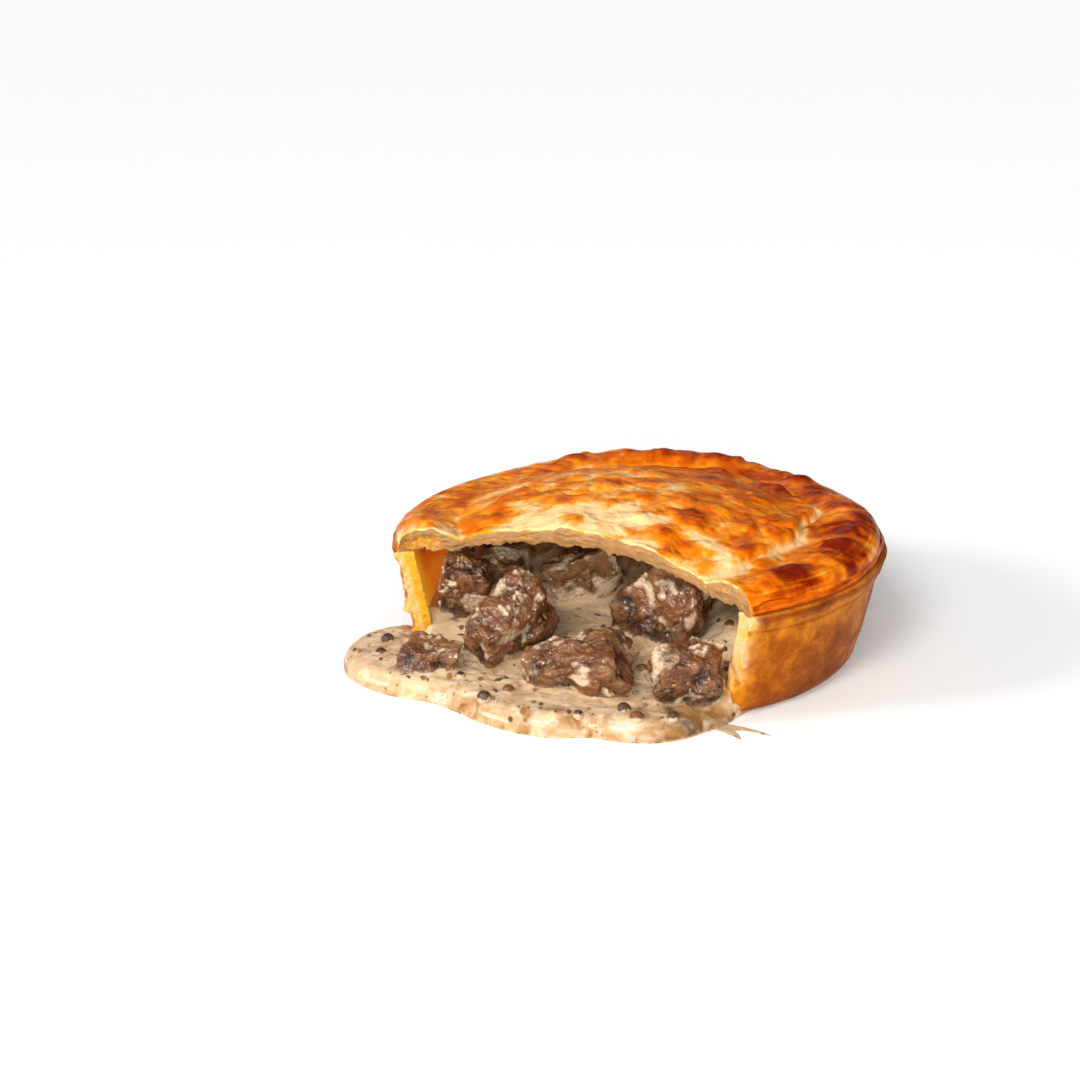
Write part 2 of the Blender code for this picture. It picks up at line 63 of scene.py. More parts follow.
# Sizes of the solids that several pieces share.
LIP_RADIUS = 0.0610
WALL_TOP_RADIUS = 0.0594
FOOT_RADIUS = 0.0547
COLLAR_FOOT = 0.0228
SAUCE_RADIUS = 0.0526
SAUCE_MIDDLE = np.array([-0.008, -0.012])
SPILL_ROUNDING = 0.0048

# The knife's upright arc: the azimuths at which it meets the lip, and how far it bows in between them.
CUT_LEFT_AZIMUTH = math.radians(190.5)
CUT_RIGHT_AZIMUTH = math.radians(-66.5)
CUT_SAG = 0.0115

# Where the rim sank in the oven: azimuths in degrees at which the sag starts, is full, still is full and has
# ended, and the share of the rim's height over RIM_FLOOR that it took. They are the solid's.
RIM_SAGS = (((88, 132, 160, 192), 0.68), ((2, 24, 42, 62), 0.24))
RIM_FLOOR = 0.0276
SAG_START = 0.0400

# Points along the cut and round the rim in one row of the lid; columns of the case and of its end caps.
LID_CUT_POINTS, LID_RIM_POINTS, CASE_COLUMNS, CAP_COLUMNS = 254, 373, 520, 12

# Steak chunks: node, centre, size along its own axes, yaw, pitch and roll in degrees, seed.
STEAK = [
    ("steak_left_front", (-0.0437, -0.0049, 0.0154), (0.0100, 0.0110, 0.0211), (4, 6, 19), 6),
    ("steak_left_back", (-0.0332, 0.0072, 0.0140), (0.0112, 0.0136, 0.0124), (-4, 10, 4), 22),
    ("steak_peaked", (-0.0318, -0.0233, 0.0133), (0.0223, 0.0142, 0.0221), (35, -28, 28), 14),
    ("steak_middle", (-0.0127, 0.0081, 0.0129), (0.0172, 0.0107, 0.0161), (8, -27, 0), 6),
    ("steak_deep", (-0.0042, 0.0217, 0.0119), (0.0095, 0.0085, 0.0119), (26, -5, -10), 13),
    ("steak_block", (0.0056, -0.0165, 0.0152), (0.0250, 0.0155, 0.0149), (-27, -27, 1), 24),
    ("steak_front", (-0.0159, -0.0415, 0.0094), (0.0268, 0.0158, 0.0124), (-16, -26, 22), 23),
    ("steak_right", (0.0098, -0.0499, 0.0110), (0.0175, 0.0126, 0.0138), (20, 1, 18), 14),
    ("steak_spilt", (-0.0504, -0.0295, 0.0065), (0.0132, 0.0114, 0.0084), (-7, 16, -8), 2),
]

# Chunks that carry more sauce than the others, or less where it is negative.
# For the middle and left back chunks, which the lid shades, the extra sauce is also painted light that makes
# them paler.
SAUCE_AND_PAINTED_LIGHT = {
    "steak_middle": 0.48,
    "steak_spilt": 0.10,
    "steak_left_back": 0.56,
    "steak_block": 0.05,
    "steak_peaked": -0.05,
}

# Peppercorns that stand out of the sauce: x, y and diameter.
PEPPERCORNS = [
    *((-0.0372, -0.0500, 0.0034), (-0.0317, -0.0452, 0.0031), (-0.0430, -0.0365, 0.0030)),
    *((-0.0050, -0.0565, 0.0033), (-0.0022, -0.0608, 0.0036), (-0.0155, -0.0588, 0.0027)),
    *((0.0060, -0.0605, 0.0030), (0.0000, -0.0365, 0.0031), (-0.0630, -0.0210, 0.0032)),
    *((-0.0618, -0.0135, 0.0034), (0.0215, -0.0250, 0.0030), (0.0195, -0.0335, 0.0028)),
]

# Outline of the spilt sauce in plan, from the left end of the cut round to the right end.
SPILL_OUTLINE = [
    *((-0.0580, -0.0010), (-0.0638, -0.0022), (-0.0690, -0.0062), (-0.0718, -0.0118), (-0.0725, -0.0185)),
    *((-0.0703, -0.0265), (-0.0645, -0.0340), (-0.0570, -0.0388), (-0.0500, -0.0415), (-0.0438, -0.0470)),
    *((-0.0375, -0.0535), (-0.0290, -0.0595), (-0.0205, -0.0620), (-0.0135, -0.0618), (-0.0065, -0.0640)),
    *((0.0015, -0.0648), (0.0085, -0.0625), (0.0145, -0.0578), (0.0190, -0.0540)),
]

# Where the oven caught the lid: x, y, spread in mm and strength. A negative one stayed pale.
# The pale spot at 44.6, 7.0 is a painted highlight just beyond the fold round the dome.
BAKED_SPOTS = [
    *((33.0, -44.2, 3.6, 0.62), (38.5, -44.0, 4.6, 0.36), (49.0, -30.0, 4.6, 0.42), (45.0, -23.5, 3.4, 0.34)),
    *((50.5, -11.5, 5.0, 0.46), (56.0, -3.0, 3.6, 0.36), (54.0, 10.0, 4.6, 0.26), (45.0, 29.0, 6.5, 0.20)),
    *((28.0, -9.0, 5.5, 0.20), (14.0, -11.0, 5.0, 0.30), (21.0, 3.0, 5.0, 0.20), (-4.0, 10.0, 4.0, 0.26)),
    *((-50.0, 5.0, 12.0, 0.15), (-34.5, -4.5, 2.6, 0.26), (-44.0, 16.0, 4.0, 0.20), (-19.0, 16.0, 3.2, 0.18)),
    *((-11.0, -16.0, 9.0, -0.20), (-24.0, -11.0, 6.0, -0.22), (15.5, -27.8, 3.0, -0.42)),
    *((18.5, -33.0, 4.0, -0.34), (21.0, -38.5, 4.0, -0.30), (2.3, -16.0, 6.5, -0.20), (9.6, 6.6, 4.5, -0.24)),
    *((31.0, -26.0, 4.0, -0.30), (38.0, -15.0, 3.6, -0.34), (44.6, 7.0, 2.8, -0.40)),
    *((39.0, -32.0, 3.0, -0.26), (43.0, -39.5, 2.8, -0.30)),
]

# Slits between the lid's layers in its cut face: mm along the cut, share of the thickness from below,
# half length and half height in mm, depth in mm. The lid is about LID_THICKNESS mm thick there.
LID_THICKNESS = 4.6
CUT_SLITS = [
    *((-43.0, 0.30, 4.6, 1.50, 1.80), (-25.7, 0.34, 1.8, 0.22, 0.60), (-17.2, 0.36, 2.0, 0.22, 0.60)),
    *((-33.0, 0.62, 3.4, 0.16, 0.45), (5.0, 0.80, 0.8, 0.30, 0.90), (14.0, 0.66, 3.4, 0.16, 0.45)),
    *((21.6, 0.80, 1.9, 0.26, 0.75), (27.0, 0.48, 3.6, 0.16, 0.45), (31.6, 0.76, 2.8, 0.20, 0.60)),
    (38.5, 0.56, 3.0, 0.20, 0.60),
]


# ---------------------------------------------------------------- sizes and colours that a user may change


def number(name, value, description, **kind):
    """A number property that isn't negative. kind holds its unit, subtype or upper limit."""
    return bpy.props.FloatProperty(name=name, default=value, min=0.0, description=description, **kind)


length = partial(number, unit="LENGTH", precision=5)


def linear(code):
    """An sRGB hex colour such as #FF8800 as linear RGBA."""
    parts = [int(code[i : i + 2], 16) / 255 for i in (1, 3, 5)]
    return (*(p / 12.92 if p <= 0.04045 else ((p + 0.055) / 1.055) ** 2.4 for p in parts), 1.0)


def colour(name, code, description):
    """A colour property whose default is an sRGB hex code."""
    return bpy.props.FloatVectorProperty(
        name=name, default=linear(code), size=4, min=0.0, max=1.0, subtype="COLOR", description=description
    )


class PieLid(bpy.types.PropertyGroup):
    """Shape and colours of the glazed lid."""

    radius: length("Rim radius", 0.0598, "From the pie's axis to the outside of the lid")
    dome_top: length("Dome top", 0.0388, "Height of the dome's middle above the table")
    groove_radius: length("Groove radius", 0.0435, "Where the lid is pressed down round the dome")
    groove_height: length("Groove height", 0.0316, "Height of the pressed groove above the table")
    crest_radius: length("Rim crest radius", 0.0525, "Where the raised rim is highest")
    crest_height: length("Rim crest height", 0.0334, "Height of the raised rim above the table")
    side_top: length("Side top", 0.0292, "Where the rim has rounded over to its upright side")
    seam: length("Seam height", 0.0273, "Where the lid meets the case")
    fold_rise: length("Fold rise", 0.0023, "How far the dome bulges over the pressed groove")
    puff_rise: length("Puff rise", 0.00062, "How far the flaky puffs of the top stand out")
    pale: colour("Pale pastry", "#F8CB8C", "Where the lid has hardly coloured")
    golden: colour("Golden pastry", "#F0901A", "The lid's middle shade")
    orange: colour("Orange crust", "#D46402", "Where the egg wash has browned")
    brown: colour("Brown crust", "#A63E01", "The darker lumps of the rim")
    dark: colour("Dark crust", "#781A01", "The darkest spots")
    crumb: colour("Inner layers", "#AC865C", "The soft layers that the knife laid open")


class PieCase(bpy.types.PropertyGroup):
    """Shape and colours of the pastry case."""

    lip_radius: length("Lip radius", LIP_RADIUS, "From the pie's axis to the outside of the lip")
    lip_top: length("Lip top", 0.0270, "Height of the lip above the table")
    collar_foot: length("Collar foot", COLLAR_FOOT, "Where the wall steps out to the lip")
    wall_top_radius: length("Wall top radius", WALL_TOP_RADIUS, "Outside of the wall, below the collar")
    wall_thickness: length("Wall thickness", 0.0042, "Thickness of the pastry wall")
    foot_radius: length("Foot radius", FOOT_RADIUS, "Outside of the wall at the table")
    floor_thickness: length("Floor thickness", 0.0036, "Thickness of the pastry floor")
    golden: colour("Golden pastry", "#94480A", "The wall's middle shade")
    pale: colour("Pale pastry", "#C87818", "Where the wall has hardly coloured")
    brown: colour("Brown pastry", "#5A2202", "Where the wall touched the tin")
    crumb: colour("Inner pastry", "#D3AC7C", "The pale pastry that the knife laid open")
    soaked: colour("Soaked pastry", "#E6A42A", "The wall's inside, soaked with gravy")


class PieFilling(bpy.types.PropertyGroup):
    """Shape and colours of the sauce, the steak and the pepper."""

    spill_level: length("Spill level", 0.0047, "Height of the spilt sauce above the table")
    mouth_level: length("Mouth level", 0.0082, "Height of the sauce in the mouth of the cut")
    mound_level: length("Mound level", 0.0215, "Height of the filling at the back")
    bank_rise: length("Bank rise", 0.0070, "How far the sauce climbs at the right wall")
    coat_thickness: length("Coat thickness", 0.00035, "How thick the sauce clings to the steak")
    fleck_count: bpy.props.IntProperty(
        name="Pepper flecks", default=760, min=0, max=3000, description="Cracked pepper in and on the sauce"
    )
    sauce: colour("Sauce", "#D8B890", "Cream sauce in the light")
    sauce_deep: colour("Sauce, brown swirls", "#A07442", "Where meat juices colour the sauce")
    steak: colour("Steak", "#784420", "Braised beef")
    steak_deep: colour("Steak, clefts", "#2A1406", "Between the fibres")
    steak_grey: colour("Steak, filmed face", "#9A7048", "Pale cooked fibres")
    pepper: colour("Pepper", "#40281A", "Black pepper skin")


class PieStage(bpy.types.PropertyGroup):
    """Floor and lights."""

    floor: colour("Floor", "#FCFCFB", "Plain pale studio floor")
    key_power: number("Key light", 1.52, "Broad soft light from the upper left")
    fill_power: number("Fill light", 9.5, "Soft light into the mouth of the cut", unit="POWER")
    sky: number("Room light", 0.31, "Even white light from all round", max=2.0, subtype="FACTOR")


# ---------------------------------------------------------------- seeded patterns, as whole arrays


def smoothstep(low, high, value):
    """0 below low, 1 above high, and t^2 (3 - 2t) between them."""
    t = np.clip((np.asarray(value, dtype=float) - low) / (high - low), 0, 1)
    return t * t * (3 - 2 * t)


def hump(x, width):
    return np.exp(-((x / width) ** 2))


def fade(x, width):
    return np.exp(-np.maximum(0, x) / width)


def size_of(vector):
    return np.linalg.norm(vector, axis=-1)


def azimuth_of(spot):
    return np.arctan2(spot[..., 1], spot[..., 0])


def wrapped(angle):
    """The angle, brought to within half a turn of 0."""
    return np.remainder(angle + math.pi, TAU) - math.pi


def on_circle(radius, azimuth):
    return np.stack([radius * np.cos(azimuth), radius * np.sin(azimuth)], axis=-1)


def flat(x, y, z=0.0):
    """x, y and z as one array of points."""
    return np.stack(np.broadcast_arrays(x, y, z), axis=-1).astype(float)


def raised(spot, z=0.0):
    """Plan points at the height z."""
    return flat(spot[..., 0], spot[..., 1], z)


def rings(middle, edge, shares):
    """For each share a ring of plan points: middle + share (edge - middle)."""
    return middle + np.asarray(shares)[:, None, None] * (edge - middle)


def lattice_draws(cell, seed, count):
    """count numbers from 0 to 1 for each lattice cell: its place and the seed, mixed by hashing."""
    mixed = cell[..., 0] * 73856093 ^ cell[..., 1] * 19349663 ^ cell[..., 2] * 83492791 ^ seed * 668265263
    draws = []
    for _ in range(count):
        mixed = mixed + 374761393 & 0xFFFFFFFF
        mixed = (mixed >> 15 ^ mixed) * 0x2C1B3C6D & 0xFFFFFFFF
        mixed = (mixed >> 12 ^ mixed) * 0x297A2D39 & 0xFFFFFFFF
        mixed = mixed >> 15 ^ mixed
        draws.append(mixed / 4294967296)
    return draws


def noise(points, size, seed):
    """Smooth noise, about -1 to 1, with features of the given size (one number, or one for each axis).

    Each lattice corner has a seeded slope. A point blends the eight slopes round it by 6t^5 - 15t^4 + 10t^3.
    """
    place = points / np.asarray(size)
    cell = np.floor(place).astype(np.int64)
    inside = place - cell
    blend = inside**3 * (inside * (inside * 6 - 15) + 10)
    total = np.zeros(points.shape[:-1])
    for corner in np.ndindex(2, 2, 2):
        corner = np.array(corner)
        slopes = lattice_draws(cell + corner, seed, 3)
        weight = np.prod(np.where(corner == 1, blend, 1 - blend), axis=-1)
        away = inside - corner
        total += weight * sum((2 * slopes[k] - 1) * away[..., k] for k in range(3))
    return 1.9 * total


def rough_noise(points, size, seed, octaves=3, keep=0.5):
    """Noise summed over octaves: each half the size of the last, and keep times its strength."""
    size = np.asarray(size, dtype=float)
    return sum(keep**k * noise(points, size / 2**k, seed + 17 * k) for k in range(octaves))


def cells(points, size, seed):
    """Distance to the nearest and the second nearest of one seeded point per lattice cell, in sizes.

    The third array is a number from 0 to 1 that belongs to the nearest point.
    """
    place = points / np.asarray(size)
    home = np.floor(place).astype(np.int64)
    nearest = np.full(points.shape[:-1], 9.0)
    second = nearest.copy()
    owner = np.zeros_like(nearest)
    for step in np.ndindex(3, 3, 3):
        cell = home + np.array(step) - 1
        *spot, tag = lattice_draws(cell, seed, 4)
        gap = np.sqrt(sum((cell[..., k] + spot[k] - place[..., k]) ** 2 for k in range(3)))
        closer = gap < nearest
        second = np.where(closer, nearest, np.minimum(second, gap))
        owner = np.where(closer, tag, owner)
        nearest = np.where(closer, gap, nearest)
    return nearest, second, owner


# ---------------------------------------------------------------- meshes from arrays


def grid_faces(rows, columns, wrap, start=0):
    """Quads of a rows x columns grid of vertices, row by row. wrap joins the last column to the first."""
    last = columns if wrap else columns - 1
    row, column = np.meshgrid(np.arange(rows - 1) * columns, np.arange(last), indexing="ij")
    after = row + (column + 1) % columns
    quads = [row + column, after, after + columns, row + column + columns]
    return np.stack(quads, axis=-1).reshape(-1, 4) + start


def add_object(name, data):
    made = bpy.data.objects.new(name, data)
    bpy.context.scene.collection.objects.link(made)
    return made


def piece_from(name, points, faces, values, merge=1e-6):
    """A smooth-shaded object. values are named numbers per vertex, and vertices closer than merge join."""
    mesh = bpy.data.meshes.new(name)
    mesh.from_pydata(points.reshape(-1, 3), [], faces)
    for key, numbers in values.items():
        layer = mesh.attributes.new(key, "FLOAT", "POINT").data
        layer.foreach_set("value", np.asarray(numbers, float).ravel())
    bm = bmesh.new()
    bm.from_mesh(mesh)
    bmesh.ops.remove_doubles(bm, verts=bm.verts, dist=merge)
    bmesh.ops.dissolve_degenerate(bm, edges=bm.edges, dist=merge / 10)
    bmesh.ops.recalc_face_normals(bm, faces=bm.faces)
    bm.to_mesh(mesh)
    bm.free()
    mesh.shade_smooth()
    return add_object(name, mesh)


def hand_over(piece, material, slot, *nodes):
    """Finishes a piece: its material, the body it rides on, and the nodes it stands for. slot is not used."""
    piece.data.materials.append(material)
    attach(piece, "root")
    if nodes:
        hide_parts(*nodes)


# ---------------------------------------------------------------- the cut


def cut_circle():
    """Centre and radius of the arc through the two ends of the cut on the lip, bowed in by CUT_SAG."""
    left = on_circle(LIP_RADIUS, CUT_LEFT_AZIMUTH)
    right = on_circle(LIP_RADIUS, CUT_RIGHT_AZIMUTH)
    middle = (left + right) / 2
    half = np.linalg.norm(right - left) / 2
    radius = (half**2 + CUT_SAG**2) / (2 * CUT_SAG)
    return middle + middle / np.linalg.norm(middle) * (radius - CUT_SAG), radius


CUT_CENTRE, CUT_RADIUS = cut_circle()
CUT_REACH = float(np.linalg.norm(CUT_CENTRE))
CUT_AZIMUTH = math.atan2(CUT_CENTRE[1], CUT_CENTRE[0])
CUT_TO_AXIS = math.atan2(-CUT_CENTRE[1], -CUT_CENTRE[0])
# The plan point 22 mm behind the axis that the lid's and the floor's rows spread from.
HEART = -CUT_CENTRE / CUT_REACH * 0.022


def cut_distance(spot):
    """How far plan points lie behind the cut, negative in front of it."""
    return size_of(spot - CUT_CENTRE) - CUT_RADIUS


def to_cut_centre(spot):
    """Unit directions in plan from the points to the centre of the cut's arc."""
    return (CUT_CENTRE - spot) / size_of(spot - CUT_CENTRE)[..., None]


def along_cut(spot):
    """Metres along the cut's arc from its middle, to the left negative."""
    return -CUT_RADIUS * wrapped(azimuth_of(spot - CUT_CENTRE) - CUT_TO_AXIS)


def gap_half_angle(radius):
    """Half of the azimuth range that the cut takes out of a circle about the pie's axis (law of cosines)."""
    ratio = (radius**2 + CUT_REACH**2 - CUT_RADIUS**2) / (2 * radius * CUT_REACH)
    return np.arccos(np.clip(ratio, -1, 1))


def cut_and_rim(radius, cut_count, rim_count):
    """A circle about the axis less the cut-out: plan points along the cut, and azimuths round the rest."""
    half = float(gap_half_angle(radius))
    reach = np.arcsin(radius * math.sin(half) / CUT_RADIUS)
    cut = CUT_CENTRE + on_circle(CUT_RADIUS, CUT_TO_AXIS + np.linspace(reach, -reach, cut_count))
    return cut, CUT_AZIMUTH + half + np.linspace(0, 1, rim_count)[1:-1] * (TAU - 2 * half)


def edge_wander(azimuth, seed):
    """In and out wander of a pastry edge: cosines of 2 to 30 turns, each with a seeded phase."""
    draw = random.Random(seed)
    turns = (2, 3, 5, 8, 13, 21, 30)
    waves = [np.cos(k * azimuth + draw.uniform(0, TAU)) / math.sqrt(k) for k in turns]
    return 0.0002 * sum(waves)


# ---------------------------------------------------------------- materials

RGBA = {"data_type": "RGBA", "output": 2}


def add_node(tree, kind, *first, output=0, **given):
    """Adds a node and gives one of its outputs, by name or place.

    first are its first inputs in order. A given name is a property of the node, the stops of its colour ramp,
    or an input: by its name with _ for a space, or by i and its place. An input takes a value or an output.
    """
    made = tree.nodes.new("ShaderNode" + kind)
    for key, value in [*enumerate(first), *given.items()]:
        if key == "stops":
            ends = made.color_ramp.elements
            (ends[0].position, ends[0].color), (ends[1].position, ends[1].color) = value[0], value[-1]
            for place, tint in value[1:-1]:
                ends.new(place).color = tint
        elif isinstance(key, str) and hasattr(made, key):
            setattr(made, key, value)
        else:
            digits = str(key).strip("i")
            socket = made.inputs[int(digits) if digits.isdigit() else key.replace("_", " ")]
            if isinstance(value, bpy.types.NodeSocket):
                tree.links.new(value, socket)
            else:
                socket.default_value = value
    return made.outputs[output]


def start_material(name):
    """An empty node material, and the function that adds nodes to it."""
    material = bpy.data.materials.new(name)
    material.use_nodes = True
    material.node_tree.nodes.clear()
    return material, partial(add_node, material.node_tree)


def finish_material(material, node, bumps=(), **sockets):
    """Adds the shader with its sockets. bumps are (height output, depth in metres), each over the last."""
    normal = {}
    for height, depth in bumps:
        normal = {"Normal": node("Bump", Strength=1.0, Distance=depth, Height=height, **normal)}
    tree = material.node_tree
    surface = tree.nodes.new("ShaderNodeOutputMaterial").inputs["Surface"]
    tree.links.new(node("BsdfPrincipled", **sockets, **normal), surface)
    return material


def shifted(node, base, *patterns):
    """base + the sum of strength (pattern - 1/2), held within 0 and 1. patterns are (output, strength)."""
    for pattern, strength in patterns:
        base = node("Math", pattern, strength, base, operation="MULTIPLY_ADD")
    middle = sum(strength for _, strength in patterns) / 2
    return node("Math", base, middle, operation="SUBTRACT", use_clamp=True)


def picked_spots(node, place, size, share, sharp, reach, bend=0.0):
    """Spots in the middles of the seeded cells whose draw is over share: sharp (reach - distance - bend)."""
    distance = node("TexVoronoi", Vector=place, Scale=1 / size, output="Distance")
    draw = node("SeparateColor", distance.node.outputs["Color"])
    picked = node("Math", draw, share, operation="GREATER_THAN")
    bent = node("Math", distance, bend, operation="ADD")
    near = node("Math", bent, -sharp, sharp * reach, operation="MULTIPLY_ADD", use_clamp=True)
    return node("Math", picked, near, operation="MULTIPLY")


def glazed_pastry(look):
    """Puff pastry brushed with egg and baked: a thin glaze over golden, orange and red-brown blotches."""
    material, node = start_material("egg_glazed_puff_pastry")
    place = node("TexCoord", output="Object")
    names = ("baked", "inner", "share", "slit", "soaked")
    baked, inner, share, slit, soaked = (node("Attribute", attribute_name=n, output="Fac") for n in names)
    # Soft blotches of 8 mm, mottles of 1.8 mm and grain of 1.1 mm, where the egg wash lay thick or thin.
    blotch = node("TexNoise", Vector=place, Scale=1 / 0.0078, Detail=4.0, Roughness=0.52, Distortion=0.6)
    mottle = node("TexNoise", Vector=place, Scale=1 / 0.0018, Detail=3.0, Roughness=0.5)
    fine = node("TexNoise", Vector=place, Scale=1 / 0.0011, Detail=4.0, Roughness=0.65)
    swell = node("TexNoise", Vector=place, Scale=1 / 0.0048, Detail=1.0, Roughness=0.4, Distortion=0.3)
    stops = [(0.0, look.pale), (0.24, look.golden), (0.50, look.orange), (0.78, look.brown), (1.0, look.dark)]
    crust = node("ValToRGB", shifted(node, baked, (blotch, 1.15), (mottle, 0.28), (fine, 0.20)), stops=stops)
    # Laid-open layers: cream, with thin darker lines where two layers part, and golden slits.
    layer = node("Mapping", Vector=place, Scale=(0.16, 0.16, 1.0))
    lines = node("TexNoise", Vector=layer, Scale=1 / 0.0009, Detail=4.0, Roughness=0.6)
    cloud = node("TexNoise", Vector=place, Scale=1 / 0.0030, Detail=4.0, Roughness=0.6)
    tone = node("Math", share, 0.95, -0.05, operation="MULTIPLY_ADD")
    tone = shifted(node, tone, (cloud, 1.3), (lines, 1.5))
    crumb = node("Mix", tone, i6=linear("#94683C"), i7=look.crumb, **RGBA)
    gold = node("ValToRGB", fine, stops=[(0.35, linear("#A4661C")), (0.65, linear("#E0A63E"))])
    crumb = node("Mix", slit, i6=crumb, i7=gold, **RGBA)
    # Painted shade: the lid's underside takes a near-black brown, fading in from 0.8 to 5 mm behind the cut.
    crumb = node("Mix", soaked, i6=crumb, i7=linear("#2E1508"), **RGBA)
    rough = node("Math", inner, 0.35, 0.31, operation="MULTIPLY_ADD")
    open_layers = node("Math", lines, inner, operation="MULTIPLY")
    return finish_material(
        material,
        node,
        [(swell, 0.0012), (mottle, 0.00022), (fine, 0.00010), (open_layers, 0.0006)],
        Base_Color=node("Mix", inner, i6=crust, i7=crumb, **RGBA),
        Roughness=shifted(node, rough, (blotch, 0.34)),
        IOR=1.45,
        Specular_IOR_Level=0.05,
        Specular_Tint=(1.0, 0.62, 0.30, 1.0),
        Coat_Weight=0.08,
        Coat_Roughness=0.10,
        Subsurface_Weight=0.15,
        Subsurface_Radius=(1.0, 0.5, 0.2),
        Subsurface_Scale=0.0016,
    )


def baked_case_pastry(look):
    """Shortcrust baked in a tin: satin, golden-brown, blotched by the tin, with burst bubbles, and crumbly
    and pale where it is cut. Inside it has drunk gravy, honey to red-brown, and a painted glow lights it."""
    material, node = start_material("tin_baked_pastry")
    place = node("TexCoord", output="Object")
    names = ("baked", "inner", "soaked", "lit", "torn")
    baked, inner, soaked, lit, torn = (node("Attribute", attribute_name=n, output="Fac") for n in names)
    blotch = node("TexNoise", Vector=place, Scale=1 / 0.0060, Detail=7.0, Roughness=0.62, Distortion=0.4)
    fine = node("TexNoise", Vector=place, Scale=1 / 0.0010, Detail=4.0, Roughness=0.65)
    stops = [(0.0, look.pale), (0.45, look.golden), (1.0, look.brown)]
    crust = node("ValToRGB", shifted(node, baked, (blotch, 1.5), (fine, 0.55)), stops=stops)
    # Burst bubbles of 1 mm, about one to every 3 square centimetres.
    pit = picked_spots(node, place, 0.0085, 0.66, 14.0, 1.25 / 14.0)
    crust = node("Mix", node("Math", pit, 0.75, operation="MULTIPLY"), i6=crust, i7=linear("#5E2A08"), **RGBA)
    torn = node("Math", torn, 1.3, operation="MULTIPLY")
    stops = [(0.0, linear("#C87414")), (0.25, linear("#EDA440")), (0.85, look.crumb)]
    crumb = node("ValToRGB", shifted(node, torn, (fine, 1.5)), stops=stops)
    stops = [(0.0, look.crumb), (0.14, look.soaked)]
    stops += [(0.42, linear("#DD9A28")), (0.66, linear("#D8741A")), (1.0, linear("#B0400A"))]
    wet = node("ValToRGB", shifted(node, soaked, (blotch, 0.5)), stops=stops)
    inside = node("Mix", node("Math", soaked, 0.001, operation="GREATER_THAN"), i6=crumb, i7=wet, **RGBA)
    # Painted glow: the wall's inside emits its own colour, faintly, in place of light coming through the
    # wall.
    through = node("Math", lit, 3.0, operation="MULTIPLY", use_clamp=True)
    return finish_material(
        material,
        node,
        [(blotch, 0.0008), (fine, 0.00030), (node("Math", pit, -1.0, operation="MULTIPLY"), 0.0006)],
        Base_Color=node("Mix", inner, i6=crust, i7=inside, **RGBA),
        Emission_Color=node("Mix", through, i6=linear("#000000"), i7=inside, **RGBA),
        Emission_Strength=0.62,
        Roughness=shifted(node, 0.45, (blotch, 0.3)),
        Specular_IOR_Level=0.07,
        Specular_Tint=(1.0, 0.62, 0.30, 1.0),
        Subsurface_Weight=0.40,
        Subsurface_Radius=(1.0, 0.45, 0.12),
        Subsurface_Scale=0.0045,
    )


def cream_sauce(look):
    """Cream and pepper sauce: thick, glossy and a little see-into, with paler cream, swirls of meat juice and
    ground pepper."""
    material, node = start_material("peppered_cream_sauce")
    place = node("TexCoord", output="Object")
    depth = node("Attribute", attribute_name="depth", output="Fac")
    swirl = node("TexNoise", Vector=place, Scale=1 / 0.0080, Detail=5.0, Roughness=0.58, Distortion=1.4)
    fine = node("TexNoise", Vector=place, Scale=1 / 0.0016, Detail=3.0, Roughness=0.6)
    # The darkest stop is painted shade, for sauce far back under the lid.
    stops = [(0.0, look.sauce), (0.60, look.sauce_deep), (1.0, linear("#4E3016"))]
    body = node("ValToRGB", shifted(node, depth, (swirl, 1.9), (fine, 0.26)), stops=stops)
    # Thicker cream floats in soft patches of 4.6 mm.
    cream = node("TexNoise", Vector=place, Scale=1 / 0.0046, Detail=3.0, Roughness=0.5, Distortion=0.8)
    cream = shifted(node, -0.05, (cream, 3.4))
    body = node("Mix", node("Math", cream, 0.65, operation="MULTIPLY"), i6=body, i7=linear("#ECDCC8"), **RGBA)
    # Ground pepper and herbs of 0.3 to 0.8 mm: cell size, share of bare cells, reach and colour.
    bend = node("Math", fine, 0.10, operation="MULTIPLY")
    for size, share, reach, tint in (
        (0.0020, 0.58, 0.24125, "#84562A"),
        (0.0034, 0.60, 0.26125, "#4A2C16"),
        (0.0047, 0.64, 0.25125, "#9A5A26"),
    ):
        turned = node("Mapping", Vector=place, Rotation=(0.0, 0.0, 900 * size), Scale=(1.0, 0.55, 1.0))
        specks = picked_spots(node, turned, size, share, 16.0, reach, bend)
        body = node("Mix", node("Math", specks, 0.85, operation="MULTIPLY"), i6=body, i7=linear(tint), **RGBA)
    return finish_material(
        material,
        node,
        [(cream, 0.0002), (fine, 0.00004)],
        Base_Color=body,
        Roughness=0.12,
        IOR=1.42,
        Specular_IOR_Level=0.24,
        Subsurface_Weight=0.35,
        Subsurface_Radius=(1.0, 0.75, 0.45),
        Subsurface_Scale=0.0016,
    )


